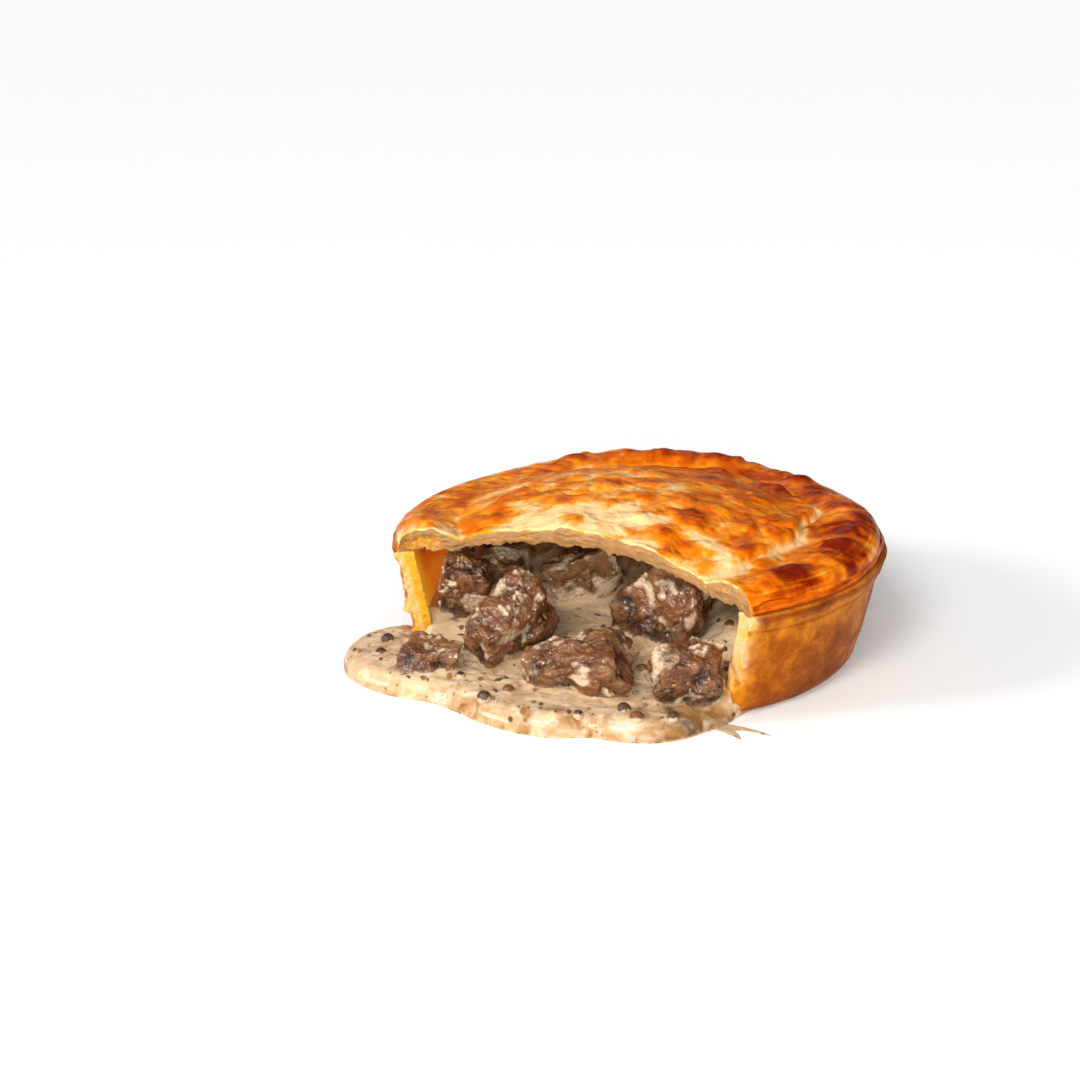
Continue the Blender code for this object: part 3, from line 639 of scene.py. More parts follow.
def braised_beef(look):
    """Braised beef dice: wet brown fibres under a thin layer of gravy, with cream sauce in beads and smears.
    """
    material, node = start_material("braised_beef_with_sauce")
    place = node("TexCoord", output="Object")
    names = ("cleft", "coat", "film")
    cleft, coat, film = (node("Attribute", attribute_name=n, output="Fac") for n in names)
    mottle = node("TexNoise", Vector=place, Scale=1 / 0.0030, Detail=6.0, Roughness=0.65)
    fine = node("TexNoise", Vector=place, Scale=1 / 0.0008, Detail=4.0, Roughness=0.7)
    grain = node("Mapping", Vector=place, Rotation=(0.4, 0.3, 0.6), Scale=(0.25, 1.0, 1.0))
    fibre = node("TexNoise", Vector=grain, Scale=1 / 0.0008, Detail=3.0, Roughness=0.6)
    dark = shifted(node, node("Math", cleft, 1.25, operation="MULTIPLY"), (fibre, 1.2))
    meat = node("Mix", dark, i6=look.steak, i7=look.steak_deep, **RGBA)
    bare = node("Math", cleft, -0.8, 0.9, operation="MULTIPLY_ADD")
    filmed = node("Math", shifted(node, film, (mottle, 2.4)), bare, operation="MULTIPLY")
    meat = node("Mix", filmed, i6=meat, i7=look.steak_grey, **RGBA)
    # The sauce thins out at its edges, where fine noise breaks it up over the fibres.
    black, white = (0.0, 0.0, 0.0, 1.0), (1.0, 1.0, 1.0, 1.0)
    cream = node("ValToRGB", shifted(node, coat, (fine, 0.5)), stops=[(0.08, black), (1.0, white)])
    return finish_material(
        material,
        node,
        [(mottle, 0.0010), (fine, 0.00030), (fibre, 0.00028)],
        Base_Color=node("Mix", cream, i6=meat, i7=linear("#E0C4A0"), **RGBA),
        Roughness=shifted(node, 0.25, (mottle, 0.30)),
        IOR=1.45,
        Specular_IOR_Level=0.22,
        Coat_Weight=0.55,
        Coat_Roughness=0.07,
        Subsurface_Weight=0.04,
        Subsurface_Radius=(1.0, 0.45, 0.3),
        Subsurface_Scale=0.0010,
    )


def cracked_pepper(look):
    """Black peppercorns and their cracked skin: brown-black, wrinkled, under a grey layer of sauce."""
    material, node = start_material("black_pepper")
    place = node("TexCoord", output="Object")
    tint, coat = (node("Attribute", attribute_name=n, output="Fac") for n in ("tint", "coat"))
    wrinkle = node("TexNoise", Vector=place, Scale=1 / 0.0006, Detail=3.0, Roughness=0.6)
    cloud = node("TexNoise", Vector=place, Scale=1 / 0.0018, Detail=3.0, Roughness=0.6)
    stops = [(0.0, look.pepper), (0.45, linear("#503420"))]
    stops += [(0.70, linear("#7A4A24")), (1.0, linear("#A8742C"))]
    filmed = node("Math", shifted(node, 0.15, (cloud, 2.2)), 0.5, operation="MULTIPLY")
    skin = node("Mix", filmed, i6=node("ValToRGB", tint, stops=stops), i7=linear("#8C7C6E"), **RGBA)
    return finish_material(
        material,
        node,
        [(wrinkle, 0.00030)],
        Base_Color=node("Mix", coat, i6=skin, i7=look.sauce, **RGBA),
        Roughness=0.30,
        Specular_IOR_Level=0.25,
    )


# ---------------------------------------------------------------- lid


def dome_blisters(groove_radius):
    """Blisters of the flaky dome, by seeded dart throwing: x, y, size, rise. They are the solid's."""
    draw = random.Random(4)
    blisters = []
    spacing = 0.0104
    while len(blisters) < 46:
        radius = groove_radius * math.sqrt(draw.random())
        spot = on_circle(radius, TAU * draw.random())
        if all(math.dist(spot, other[:2]) > spacing for other in blisters):
            blisters.append((*spot, draw.uniform(0.0020, 0.0032), draw.uniform(0.0004, 0.0010)))
        spacing *= 0.9995
    return blisters


def rim_lumps(count=30):
    """Lumps along the rim's crest: azimuth, size, rise. They are the solid's."""
    draw = random.Random(8)
    step = TAU / count
    return [
        ((i + draw.uniform(-0.3, 0.3)) * step, draw.uniform(0.0025, 0.0040), draw.uniform(0.0003, 0.0013))
        for i in range(count)
    ]


def lid_height(radius, lid):
    """The smooth top: a dome GH + (DT - GH)(1 - (r / GR)^2.4), an S up to the rim's crest, then
    side + (crest - side) sqrt(1 - t^2.4) over its rounded edge."""
    dome = 1 - np.minimum(1, radius / lid.groove_radius) ** 2.4
    inner = lid.groove_height + (lid.dome_top - lid.groove_height) * dome
    climb = smoothstep(lid.groove_radius, lid.crest_radius, radius)
    inner = inner + (lid.crest_height - lid.groove_height) * climb
    t = np.clip((radius - lid.crest_radius) / (lid.radius - lid.crest_radius), 0, 1)
    outer = lid.side_top + (lid.crest_height - lid.side_top) * np.sqrt(1 - t**2.4)
    return np.where(radius <= lid.crest_radius, inner, outer)


def lid_underside(spot, lid):
    """Hollow below the dome by 1 - (r / 47.5 mm)^2.2, and down to the seam where it lies on the lip."""
    radius = size_of(spot)
    hollow = np.maximum(0, 1 - (radius / 0.0475) ** 2.2)
    return lid.seam + 0.0007 * (1 - smoothstep(0.0552, 0.0560, radius)) + 0.0062 * hollow


def solid_relief(spot, lid):
    """The solid's own relief: -0.4 mm, and rise * exp(-distance^2 / (2 size^2)) for each blister and lump."""
    radius, turn = size_of(spot), azimuth_of(spot)
    height = np.full(radius.shape, -0.0004)
    for x, y, size, rise in dome_blisters(lid.groove_radius):
        height += rise * np.exp(-((spot[..., 0] - x) ** 2 + (spot[..., 1] - y) ** 2) / (2 * size**2))
    for azimuth, size, rise in rim_lumps():
        along = lid.crest_radius * wrapped(turn - azimuth)
        height += rise * np.exp(-(along**2 + (radius - lid.crest_radius) ** 2) / (2 * size**2))
    return height


def puffs(spot):
    """Flaky puffs of 9 mm and 3.6 mm: cells with outlines bent by noise, each a low pillow 1 - distance^2."""
    points = raised(spot)
    bend = flat(noise(points, 0.006, 41), noise(points, 0.006, 42))
    bent = points + 0.0026 * bend
    near, second, tag = cells(bent, 0.0092, 43)
    big = (1 - np.minimum(1, near / 0.8) ** 2) * (0.25 + tag) * smoothstep(0.0, 0.40, second - near)
    near, second, tag = cells(bent + 0.0005 * bend, 0.0036, 44)
    little = (1 - np.minimum(1, near / 0.75) ** 2) * (0.1 + tag) * smoothstep(0.0, 0.3, second - near)
    return big, little


def puff_relief(spot, lid):
    """The puffs, and torn flakes between them: ridges where noise of 7.5 by 4 mm turns over."""
    points = raised(spot)
    big, little = puffs(spot)
    grain = rough_noise(points, 0.0022, 45)
    ridge = np.maximum(0, 1 - np.abs(noise(points, (0.0075, 0.0040, 1), 46)) * 2.6) ** 2
    return lid.puff_rise * (1.35 * big + 0.40 * little + 0.10 * grain - 0.05 * ridge - 0.30)


def crease_line(spot, lid):
    """How far plan points lie outside the pressed line round the dome, and how hard it is pressed there."""
    turn = azimuth_of(spot)
    points = raised(spot)
    # At the front right the line runs 4 mm further in.
    inset = smoothstep(0.12, -0.16, turn) * smoothstep(-1.15, -0.85, turn)
    line = lid.groove_radius + 0.0010 - 0.0042 * inset
    line = line + 0.0007 * noise(points, 0.012, 51) + 0.0003 * noise(points, 0.004, 52)
    pressed = 0.25 + 0.75 * smoothstep(0.1, 0.75, np.cos(turn - 0.05))
    return size_of(spot) - line, pressed * (0.80 + 0.30 * noise(points, 0.009, 53))


def groove_crease(spot, lid):
    """The pressed line round the dome. Inside it the dome bulges and turns under, most sharply at the right.

    With x the distance outside the line: rise * smoothstep(0.8 mm, -0.5 mm, x) * hump(x, 5 mm), less a dip
    0.7 * rise * hump(x - 0.5 mm, 0.9 mm).
    """
    x, pressed = crease_line(spot, lid)
    bulge = smoothstep(0.0008, -0.0005, x) * hump(x, 0.0050)
    return lid.fold_rise * pressed * (bulge - 0.7 * hump(x - 0.0005, 0.0009))


def crest_scallops(spot, lid):
    """Scallops of the pinched edge: half waves of 7 mm round the crest, fading inside it, low in front."""
    radius = size_of(spot)
    at_back = 0.3 + 0.7 * smoothstep(-0.025, 0.015, spot[..., 1])
    ring = spot / np.maximum(radius, 1e-6)[..., None] * lid.crest_radius
    waves = np.abs(noise(raised(ring), 0.0066, 54))
    near_crest = smoothstep(lid.crest_radius - 0.004, lid.crest_radius + 0.001, radius)
    return at_back * (0.0011 * waves - 0.0003) * near_crest


def rim_sag(spot, lid):
    """Share of the rim's height that is missing at plan points, because the pastry sank there."""
    turn = np.degrees(azimuth_of(spot)) % 360
    share = sum(
        depth * smoothstep(start, full, turn) * (1 - smoothstep(still, end, turn))
        for (start, full, still, end), depth in RIM_SAGS
    )
    return share * smoothstep(SAG_START, lid.crest_radius, size_of(spot))


def lid_top(spot, lid):
    """Height of the lid's top at plan points, and its relief alone."""
    radius = size_of(spot)
    level = 1 - smoothstep(0.955 * lid.radius, lid.radius, radius)
    relief = sum(part(spot, lid) for part in (solid_relief, puff_relief, groove_crease, crest_scallops))
    height = lid_height(radius, lid) + relief * level
    return height - (height - RIM_FLOOR) * rim_sag(spot, lid), relief


def lid_baking(spot, relief, lid):
    """How far each point is baked, 0 pale to 1 nearly black: most where it stands out and at the right."""
    radius, turn = size_of(spot), azimuth_of(spot)
    points = raised(spot)
    big, little = puffs(spot)
    value = 0.24 + 0.26 * big * (0.6 + 0.6 * rough_noise(points, 0.013, 63, octaves=2)) + 0.14 * little
    value += 150 * np.clip(relief - crest_scallops(spot, lid), -0.0012, 0.0012)
    rim = smoothstep(0.043, 0.050, radius) * smoothstep(-0.2, 0.9, np.cos(turn + 0.25))
    value += rim * (0.18 + 0.30 * rough_noise(points, 0.008, 64))
    value += 0.13 * smoothstep(-0.01, 0.045, spot[..., 1]) + 0.17 * smoothstep(-0.01, 0.03, spot[..., 0])
    value += 0.17 * rough_noise(points, 0.011, 61, octaves=2)
    value += 0.07 * rough_noise(points, 0.004, 62, octaves=2)
    x, pressed = crease_line(spot, lid)
    value -= 0.42 * pressed * hump(x - 0.0008, 0.0014)
    # Pale striations run round the outside of the rim.
    ring = raised(on_circle(8 * MM, turn), radius)
    streaks = np.maximum(0, noise(ring, (0.0022, 0.0022, 0.0006), 65))
    value -= 0.35 * smoothstep(0.0530, 0.0565, radius) * streaks
    for x, y, spread, strength in BAKED_SPOTS:
        value += strength * hump(size_of(spot - np.array([x, y]) * MM), spread * MM)
    return value - 0.20 * fade(cut_distance(spot), 0.004)


def cut_layers(along, level):
    """Relief of a cut through layers: long thin sheets that stand out or lie back, and a slow wander."""
    points = flat(along, level)
    sheets = noise(points, (0.0050, 0.00080, 1), 71) + 0.6 * noise(points, (0.0020, 0.00050, 1), 72)
    torn = 0.9 * rough_noise(points, (0.0014, 0.0010, 1), 73, octaves=2)
    line = flat(along, 0.0)
    wander = 0.00045 * noise(line, 0.0090, 74) + 0.00032 * noise(line, 0.0026, 75)
    return 0.00020 * (sheets + torn) + wander


def cut_slits(along, share):
    """Slits between layers: exp(-(distance along / half length)^4 - (height / half height)^2) for each, as an
    amount from 0 to 1 and a depth. share runs from 0 at the lid's underside to 1 at its top."""
    amount = np.zeros(np.broadcast_shapes(along.shape, share.shape))
    depth = amount.copy()
    for at, level, half_length, half_height, deep in CUT_SLITS:
        across = (share - level) * LID_THICKNESS / half_height + 0.5 * noise(flat(along, 0.0), 0.002, 96)
        here = np.exp(-(((along / MM - at) / half_length) ** 4) - across**2)
        amount = np.maximum(amount, here)
        depth = np.maximum(depth, here * deep * MM)
    return amount, depth


def ragged_edge(along):
    """How far the lid's lower edge hangs at the cut: torn scraps of layer, and one long tooth."""
    points = flat(along, 0.0)
    hang = 0.00050 * noise(points, 0.0014, 81) + 0.0008 * np.maximum(0, noise(points, 0.0042, 82)) ** 0.5
    return -hang - 0.0013 * hump(along - 0.0052, 0.0007)


def make_lid(lid):
    """The lid as a closed skin: rows from HEART out over the top, down the side, and back below.

    A top row's share of the way to the edge is 1 - (1 - t)^1.35, and its height is lid_top. The side runs
    upright, and on the cut it is moved along the cut's normal by cut_layers.
    """
    cut, azimuth = cut_and_rim(lid.radius, LID_CUT_POINTS, LID_RIM_POINTS)
    from_end = np.minimum(azimuth - azimuth[0], azimuth[-1] - azimuth) * lid.radius
    rim = on_circle(lid.radius + edge_wander(azimuth, 22) * smoothstep(0, 0.004, from_end), azimuth)
    edge = np.concatenate([cut, rim])
    is_cut = np.repeat([1.0, 0.0], [len(cut), len(rim)])
    top_spot = rings(HEART, edge, 1 - (1 - np.linspace(0, 1, 120)) ** 1.35)
    top_z, relief = lid_top(top_spot, lid)

    t = np.linspace(0, 1, 22)[1:, None]
    outwards = edge / size_of(edge)[:, None]
    low = lid_underside(edge, lid) - 0.0004 * smoothstep(0.0560, 0.0570, size_of(edge))
    side_z = top_z[-1] + (low - top_z[-1]) * t
    ring = raised(0.06 * outwards, side_z)
    sheets = noise(ring, (0.012, 0.012, 0.0006), 91) + 0.5 * noise(ring, (0.004, 0.004, 0.0004), 92)
    bulge = 0.00026 * sheets + 0.00040 * np.sin(math.pi * t) - 0.00045 * smoothstep(0.86, 1.0, t)
    side_spot = edge + (bulge * (1 - is_cut))[..., None] * outwards

    low_spot = rings(HEART, edge, np.linspace(1, 0, 9)[1:])
    low_z = lid_underside(low_spot, lid)
    none_above, none_below = np.zeros_like(top_z), np.zeros_like(low_z)

    spot = np.concatenate([top_spot, side_spot, low_spot])
    z = np.concatenate([top_z, side_z, low_z])
    behind, along = cut_distance(spot), along_cut(spot)
    thick = np.clip(z - lid_underside(spot, lid), 0, 1)
    slit, slit_depth = (value * is_cut for value in cut_slits(along_cut(edge)[None], 1 - t))
    layers = cut_layers(along, thick) * fade(behind, 0.0009) * smoothstep(-0.052, -0.050, -np.abs(along))
    sunk = np.concatenate([none_above, slit_depth, none_below])
    spot = spot + (layers - sunk)[..., None] * to_cut_centre(spot)
    rows_below = np.arange(len(z))[:, None] >= len(top_z)
    hang = fade(behind, 0.0016) * np.exp(-thick / 0.0012) * rows_below
    z = z + ragged_edge(along) * hang * smoothstep(-0.050, -0.044, -np.abs(along))

    skin = 0.0004 + 0.0003 * noise(flat(along[len(top_z)], 0.0), 0.003, 95)
    inner_side = smoothstep(skin, skin + 0.0003, np.clip(top_z[-1] - side_z, 0, 1)) * is_cut
    side_baked = np.where(is_cut > 0, 0.12, 0.78 + 0.24 * sheets - 0.12 * np.sin(math.pi * t))
    values = {
        "baked": np.concatenate([lid_baking(top_spot, relief, lid), side_baked, none_below + 0.3]),
        "inner": np.concatenate([none_above, inner_side, none_below + 1]),
        # soaked marks the underside away from the cut, where the painted shade goes.
        "soaked": smoothstep(0.0008, 0.0050, behind) * rows_below,
        "slit": np.concatenate([none_above, slit, none_below]),
        "share": np.concatenate([none_above + 1, np.broadcast_to(1 - t, side_z.shape), none_below]),
    }
    piece = piece_from("glazed_lid", raised(spot, z), grid_faces(*z.shape, wrap=True), values)
    hand_over(piece, glazed_pastry(lid), "pastry_lid", "pastry_lid")


# ---------------------------------------------------------------- case


def along_path(corners, step=0.00040):
    """Points every step along a path of straight stretches, rounded by averaging neighbours three times."""
    corners = np.asarray(corners, dtype=float)
    lengths = np.concatenate([[0], np.cumsum(size_of(np.diff(corners, axis=0)))])
    at = np.linspace(0, lengths[-1], int(lengths[-1] / step) + 1)
    path = np.stack([np.interp(at, lengths, corners[:, k]) for k in range(2)], axis=-1)
    for _ in range(3):
        path[1:-1] = (path[:-2] + 2 * path[1:-1] + path[2:]) / 4
    return path


def case_section(case):
    """Outer and inner half of the wall's section as (radius, height), of equal length, from the floor up."""
    slope = (case.wall_top_radius - case.foot_radius) / case.collar_foot
    foot, lip, top = case.foot_radius, case.lip_radius, case.lip_top
    outer = [(foot - 0.0077, 0), (foot - 0.0032, 0), (foot - 0.0011, 0.0007), (foot + 0.0002, 0.0024)]
    outer += [(foot + slope * z + 0.0003, z) for z in (0.0085, 0.0155)]
    outer += [(case.wall_top_radius, case.collar_foot), (lip - 0.0006, case.collar_foot + 0.0010)]
    outer += [(lip - 0.0001, top - 0.0012), (lip + 0.0001, top - 0.0004), (lip - 0.0005, top)]
    mouth = case.wall_top_radius - case.wall_thickness + 0.0008
    inner = [(mouth, top), (mouth - 0.0006, case.collar_foot)]
    inner += [(foot + slope * z - case.wall_thickness, z) for z in (0.0155, 0.0085, 0.0054)]
    inner += [(r, case.floor_thickness) for r in (foot - case.wall_thickness - 0.0018, foot - 0.0077)]
    outer, inner = along_path(outer), along_path(inner[::-1])
    share, own = (np.linspace(0, 1, len(half)) for half in (outer, inner))
    return outer, np.stack([np.interp(share, own, inner[:, k]) for k in range(2)], axis=-1)


def wall_relief(points, case):
    """What the tin leaves on the wall's outside: slow dents, a fine skin, and a few burst bubbles."""
    z = points[..., 2]
    dents = 0.00022 * noise(points, 0.012, 101) + 0.00010 * noise(points, 0.0045, 102)
    skin = 0.00004 * rough_noise(points, 0.0014, 103, octaves=2)
    near, _, tag = cells(points, 0.0075, 104)
    pits = -0.00045 * smoothstep(0.75, 0.9, tag) * hump(near, 0.07)
    sheets = noise(points, (0.016, 0.016, 0.0009), 105) + 0.5 * noise(points, (0.006, 0.006, 0.0005), 106)
    collar = smoothstep(case.collar_foot - 0.002, case.collar_foot + 0.001, z)
    crease_level = case.collar_foot - 0.0004 + 0.0006 * noise(points, (0.02, 0.02, 1), 107)
    crease = -0.00030 * hump(z - crease_level, 0.00035)
    return (dents + skin + pits) * smoothstep(0.0003, 0.003, z) + 0.00016 * sheets * collar + crease


def floor_slab(case):
    """Rings of the floor's flat slab: out along its top from HEART, and back along its bottom. Its edge lies
    within the wall's section."""
    radius = case.foot_radius - 0.0050
    cut, azimuth = cut_and_rim(radius, 80, 160)
    edge = np.concatenate([cut, on_circle(radius, azimuth)])
    heights = np.repeat([case.floor_thickness - 0.0001, 0.00005], 3)
    return raised(rings(HEART, edge, [0, 0.5, 1, 1, 0.5, 0]), heights[:, None])


def make_case(case):
    """The pastry case: its section swept round the axis between the two ends of the cut, each end closed by a
    grid that follows the cut, and a floor slab that runs into the wall."""
    outer, inner = case_section(case)
    count = len(outer)
    across = np.linspace(0, 1, CAP_COLUMNS)[:, None]
    lip = outer[-1] + across[1:-1] * (inner[-1] - outer[-1])
    loop = np.concatenate([outer, lip, inner[::-1]])
    rows, columns = len(loop), CASE_COLUMNS
    is_outer = np.concatenate([np.ones(count), 1 - across[1:-1, 0], np.zeros(count)])[:, None]
    is_inner = np.repeat([0.0, 1.0], [count + len(lip), count])[:, None]
    # The columns stand closer together near both ends of the cut.
    turn = np.linspace(0, 1, columns)
    turn = turn - 0.75 * np.sin(TAU * turn) / TAU
    half = gap_half_angle(loop[:, :1])
    azimuth = CUT_AZIMUTH + half + turn * (TAU - 2 * half)
    z = np.broadcast_to(loop[:, 1:], azimuth.shape)
    # The lip wanders, and stands out a little further at the right.
    stands = edge_wander(azimuth, 21) * smoothstep(0.8 * case.collar_foot, case.lip_top, z)
    stands += 0.0009 * hump(wrapped(azimuth), 0.36) * smoothstep(case.collar_foot - 0.004, case.lip_top, z)
    radius = loop[:, :1] + stands * is_outer
    points = raised(on_circle(radius, azimuth), z)
    behind = cut_distance(points[..., :2])
    to_left = smoothstep(0.01, -0.03, points[..., 0])
    crumbly = np.exp(-z / 0.0035) * (1 - to_left)
    frill = 0.00230 * noise(points, (0.0036, 0.0036, 0.0024), 115)
    frill += 0.00060 * noise(points, (0.0018, 0.0018, 0.0012), 116)
    frill *= fade(behind, 0.0030) * (0.25 + 0.75 * np.maximum(to_left, crumbly))
    relief = wall_relief(points, case) + frill - 0.0008 * fade(behind, 0.0009)
    inside = 0.00025 * noise(points, 0.006, 111) * smoothstep(0.005, 0.008, z)
    points = raised(on_circle(radius + relief * is_outer + inside * is_inner, azimuth), z)

    # Each end of the sweep is a closed ring of points. Its cap blends from the outer to the inner half.
    blend = outer[:, None] * (1 - across) + inner[:, None] * across
    caps = []
    for side, end in ((1, 0), (-1, -1)):
        turned = CUT_AZIMUTH + side * gap_half_angle(blend[..., 0])
        cap = raised(on_circle(blend[..., 0], turned), blend[..., 1])
        cap[:, 0] = points[:count, end]
        cap[:, -1] = points[count + len(lip) :, end][::-1]
        cap[-1, 1:-1] = points[count : count + len(lip), end]
        caps.append(cap)
    joined = np.concatenate([part.reshape(-1, 3) for part in (points, *caps)])
    height = joined[:, 2]
    behind = cut_distance(joined[:, :2])
    face = flat(along_cut(joined[:, :2]), height)
    torn = 0.7 * noise(face, (0.0018, 0.0040, 1), 112) + 0.5 * rough_noise(face, 0.0016, 113)
    near = fade(behind, 0.0010) * smoothstep(0.0008, 0.002, height)
    joined[:, :2] += (0.00045 * torn * near)[:, None] * to_cut_centre(joined[:, :2])

    slab = floor_slab(case)
    closing = np.arange(columns - 1)
    last = (rows - 1) * columns
    starts = (rows * columns, rows * columns + count * CAP_COLUMNS)
    faces = [
        grid_faces(rows, columns, wrap=False),
        np.stack([last + closing, last + closing + 1, closing + 1, closing], axis=-1),
        *(grid_faces(count, CAP_COLUMNS, wrap=False, start=start) for start in starts),
        grid_faces(*slab.shape[:2], wrap=True, start=len(joined)),
    ]

    baked = 0.42 + 0.25 * noise(joined, 0.016, 114) - 0.42 * fade(behind, 0.006)
    baked += 0.16 * np.exp(-height / 0.0022) + 0.24 * np.exp(-height / 0.008)
    # Darker from 23.5 mm up to the lip. A painted highlight makes the lip's top edge, above 26.6 mm, paler.
    baked += 0.22 * smoothstep(0.0235, 0.0268, height) - 0.34 * smoothstep(0.0264, 0.0267, height)
    # Painted shade: thin dark lines in the crease under the collar at 22.4 mm and on the lip at 25.8 mm, over
    # a broad paler band at 22.5 mm.
    for level, spread, strength in ((0.0225, 0.003, -0.20), (0.0258, 0.0005, 0.20), (0.0224, 0.0004, 0.22)):
        baked += strength * hump(height - level, spread)
    swept = np.broadcast_to(1 - is_outer, (rows, columns)).ravel()
    laid_open = fade(behind - 0.0003 + 0.0006 * torn, 0.0008)
    wet = is_inner * smoothstep(0.0002, 0.0280, behind[: rows * columns].reshape(rows, columns)) ** 0.7
    wet = wet * (0.75 + 0.50 * smoothstep(0.012, 0.025, z))
    # At the left end the cut face has drunk gravy too, from its inner edge outwards.
    at_left = np.array([cap[..., 0].mean() < 0 for cap in caps])[:, None, None]
    ends = 0.45 * smoothstep(0.40, 0.75, across[:, 0]) * at_left
    ends = np.broadcast_to(ends, (2, count, CAP_COLUMNS)).ravel()
    values = {
        "baked": (baked, 0.5),
        "inner": (np.maximum(np.concatenate([swept, np.ones(ends.size)]), laid_open), 1.0),
        "soaked": (np.concatenate([wet.ravel(), ends]), 1.0),
        # lit: where the wall's inside gets its painted glow.
        "lit": (np.concatenate([wet.ravel(), np.zeros(ends.size)]), 0.0),
        "torn": (0.5 + 0.5 * torn - 0.9 * hump(height, 0.0075), 0.5),
    }
    # The second number is the slab's.
    rest = slab.size // 3
    values = {key: np.concatenate([own, np.full(rest, fill)]) for key, (own, fill) in values.items()}
    joined = np.concatenate([joined, slab.reshape(-1, 3)])
    piece = piece_from("baked_case", joined, np.concatenate(faces), values)
    hand_over(piece, baked_case_pastry(case), "pastry_case", "pastry_base")


# ---------------------------------------------------------------- steak


def wave_set(count, lowest, highest, seed):
    """Plane waves: seeded random directions with wave numbers in radians per unit, and phases."""
    draw = random.Random(seed)
    waves = []
    for _ in range(count):
        direction = np.array([draw.gauss(0, 1) for _ in range(3)])
        direction /= np.linalg.norm(direction)
        waves.append((direction * draw.uniform(lowest, highest), draw.uniform(0, TAU)))
    return waves


def wavy(points, waves, shift=0.0):
    """Sum of cos(k.p + phase) over a wave set, scaled so that it mostly stays within -1 and 1."""
    total = sum(np.cos(points @ k + phase + shift * (i + 1)) for i, (k, phase) in enumerate(waves))
    return total / math.sqrt(len(waves))


STEAK_WAVES = wave_set(9, 3.0, 7.0, 31)
SAUCE_WAVES = wave_set(10, 150, 420, 33)


def chunk_planes(size, seed):
    """A chunk's flat sides as (direction, distance): six of a box, askew, and four that cut its corners."""
    draw = random.Random(seed)
    planes = []
    for axis in range(3):
        for sign in (-1, 1):
            direction = np.array([draw.uniform(-0.3, 0.3) for _ in range(3)])
            direction[axis] = sign
            planes.append((direction / np.linalg.norm(direction), size[axis] / 2 * draw.uniform(0.88, 1.0)))
    for _ in range(4):
        direction = np.array([draw.choice((-1, 1)) * draw.uniform(0.35, 1) for _ in range(3)])
        direction /= np.linalg.norm(direction)
        reach = sum(abs(direction[i]) * size[i] / 2 for i in range(3))
        planes.append((direction, reach * draw.uniform(0.60, 0.80)))
    return planes


def chunk_reach(direction, size, seed):
    """A chunk's middle to its surface: the -1/11 power of the sum of (n.d / distance)^11 over its sides."""
    planes = chunk_planes(size, seed)
    total = sum(np.maximum(0, direction @ normal / distance) ** 11 for normal, distance in planes)
    return total ** (-1 / 11) * (1 + 0.05 * wavy(direction, STEAK_WAVES, seed))


def chunk_turn(turn):
    """The matrix of a chunk's yaw about Z, after its pitch about Y, after its roll about X."""
    (cz, sz), (cy, sy), (cx, sx) = ((math.cos(a), math.sin(a)) for a in map(math.radians, turn))
    about_z = np.array([[cz, -sz, 0], [sz, cz, 0], [0, 0, 1]])
    about_y = np.array([[cy, 0, sy], [0, 1, 0], [-sy, 0, cy]])
    about_x = np.array([[1, 0, 0], [0, cx, -sx], [0, sx, cx]])
    return about_z @ about_y @ about_x


def from_chunk(points, centre, size, turn, seed):
    """Distance of points from a chunk's surface along the line to its middle, negative inside."""
    local = (points - np.array(centre)) @ chunk_turn(turn)
    far = size_of(local)
    return far - chunk_reach(local / np.maximum(far, 1e-9)[..., None], size, seed)


def cube_sphere(count):
    """Unit directions on six count x count grids, one for each side of a cube, evened out by a tangent, and
    the grids' faces."""
    line = np.tan(np.linspace(-1, 1, count) * math.pi / 4)
    u, v = np.meshgrid(line, line, indexing="ij")
    one = np.ones_like(u)
    sides = [(one, u, v), (-one, v, u), (v, one, u), (u, -one, v), (u, v, one), (v, u, -one)]
    grids = np.array([np.stack(side, axis=-1) for side in sides]).reshape(-1, 3)
    faces = np.concatenate([grid_faces(count, count, False, start=k * count**2) for k in range(6)])
    return grids / size_of(grids)[:, None], faces


def beef_relief(points):
    """Lift and crevice value of cooked beef: lumps of 5 mm down to 0.4 mm, and fibres drawn out along the
    grain (local X) whose ridges are 1 - |noise|. The clefts are where both lie low."""
    bend = np.stack([noise(points, 0.0045, 121 + k) for k in range(3)], axis=-1)
    grain = points + 0.0009 * bend
    lumps = rough_noise(points, 0.0056, 124, octaves=5, keep=0.56)
    shown = 0.45 + 0.55 * smoothstep(-0.3, 0.5, noise(points, 0.009, 128))
    fibres = shown * (1 - 2 * np.abs(noise(grain, (0.0050, 0.0017, 0.0017), 126)))
    strands = shown * (1 - 2 * np.abs(noise(grain, (0.0030, 0.0008, 0.0008), 127)))
    lift = 0.00080 * noise(points, 0.0078, 123) + 0.00115 * lumps + 0.00026 * fibres + 0.00013 * strands
    return lift, np.clip(0.42 - 0.55 * lumps - 0.28 * fibres - 0.16 * strands, 0, 1)


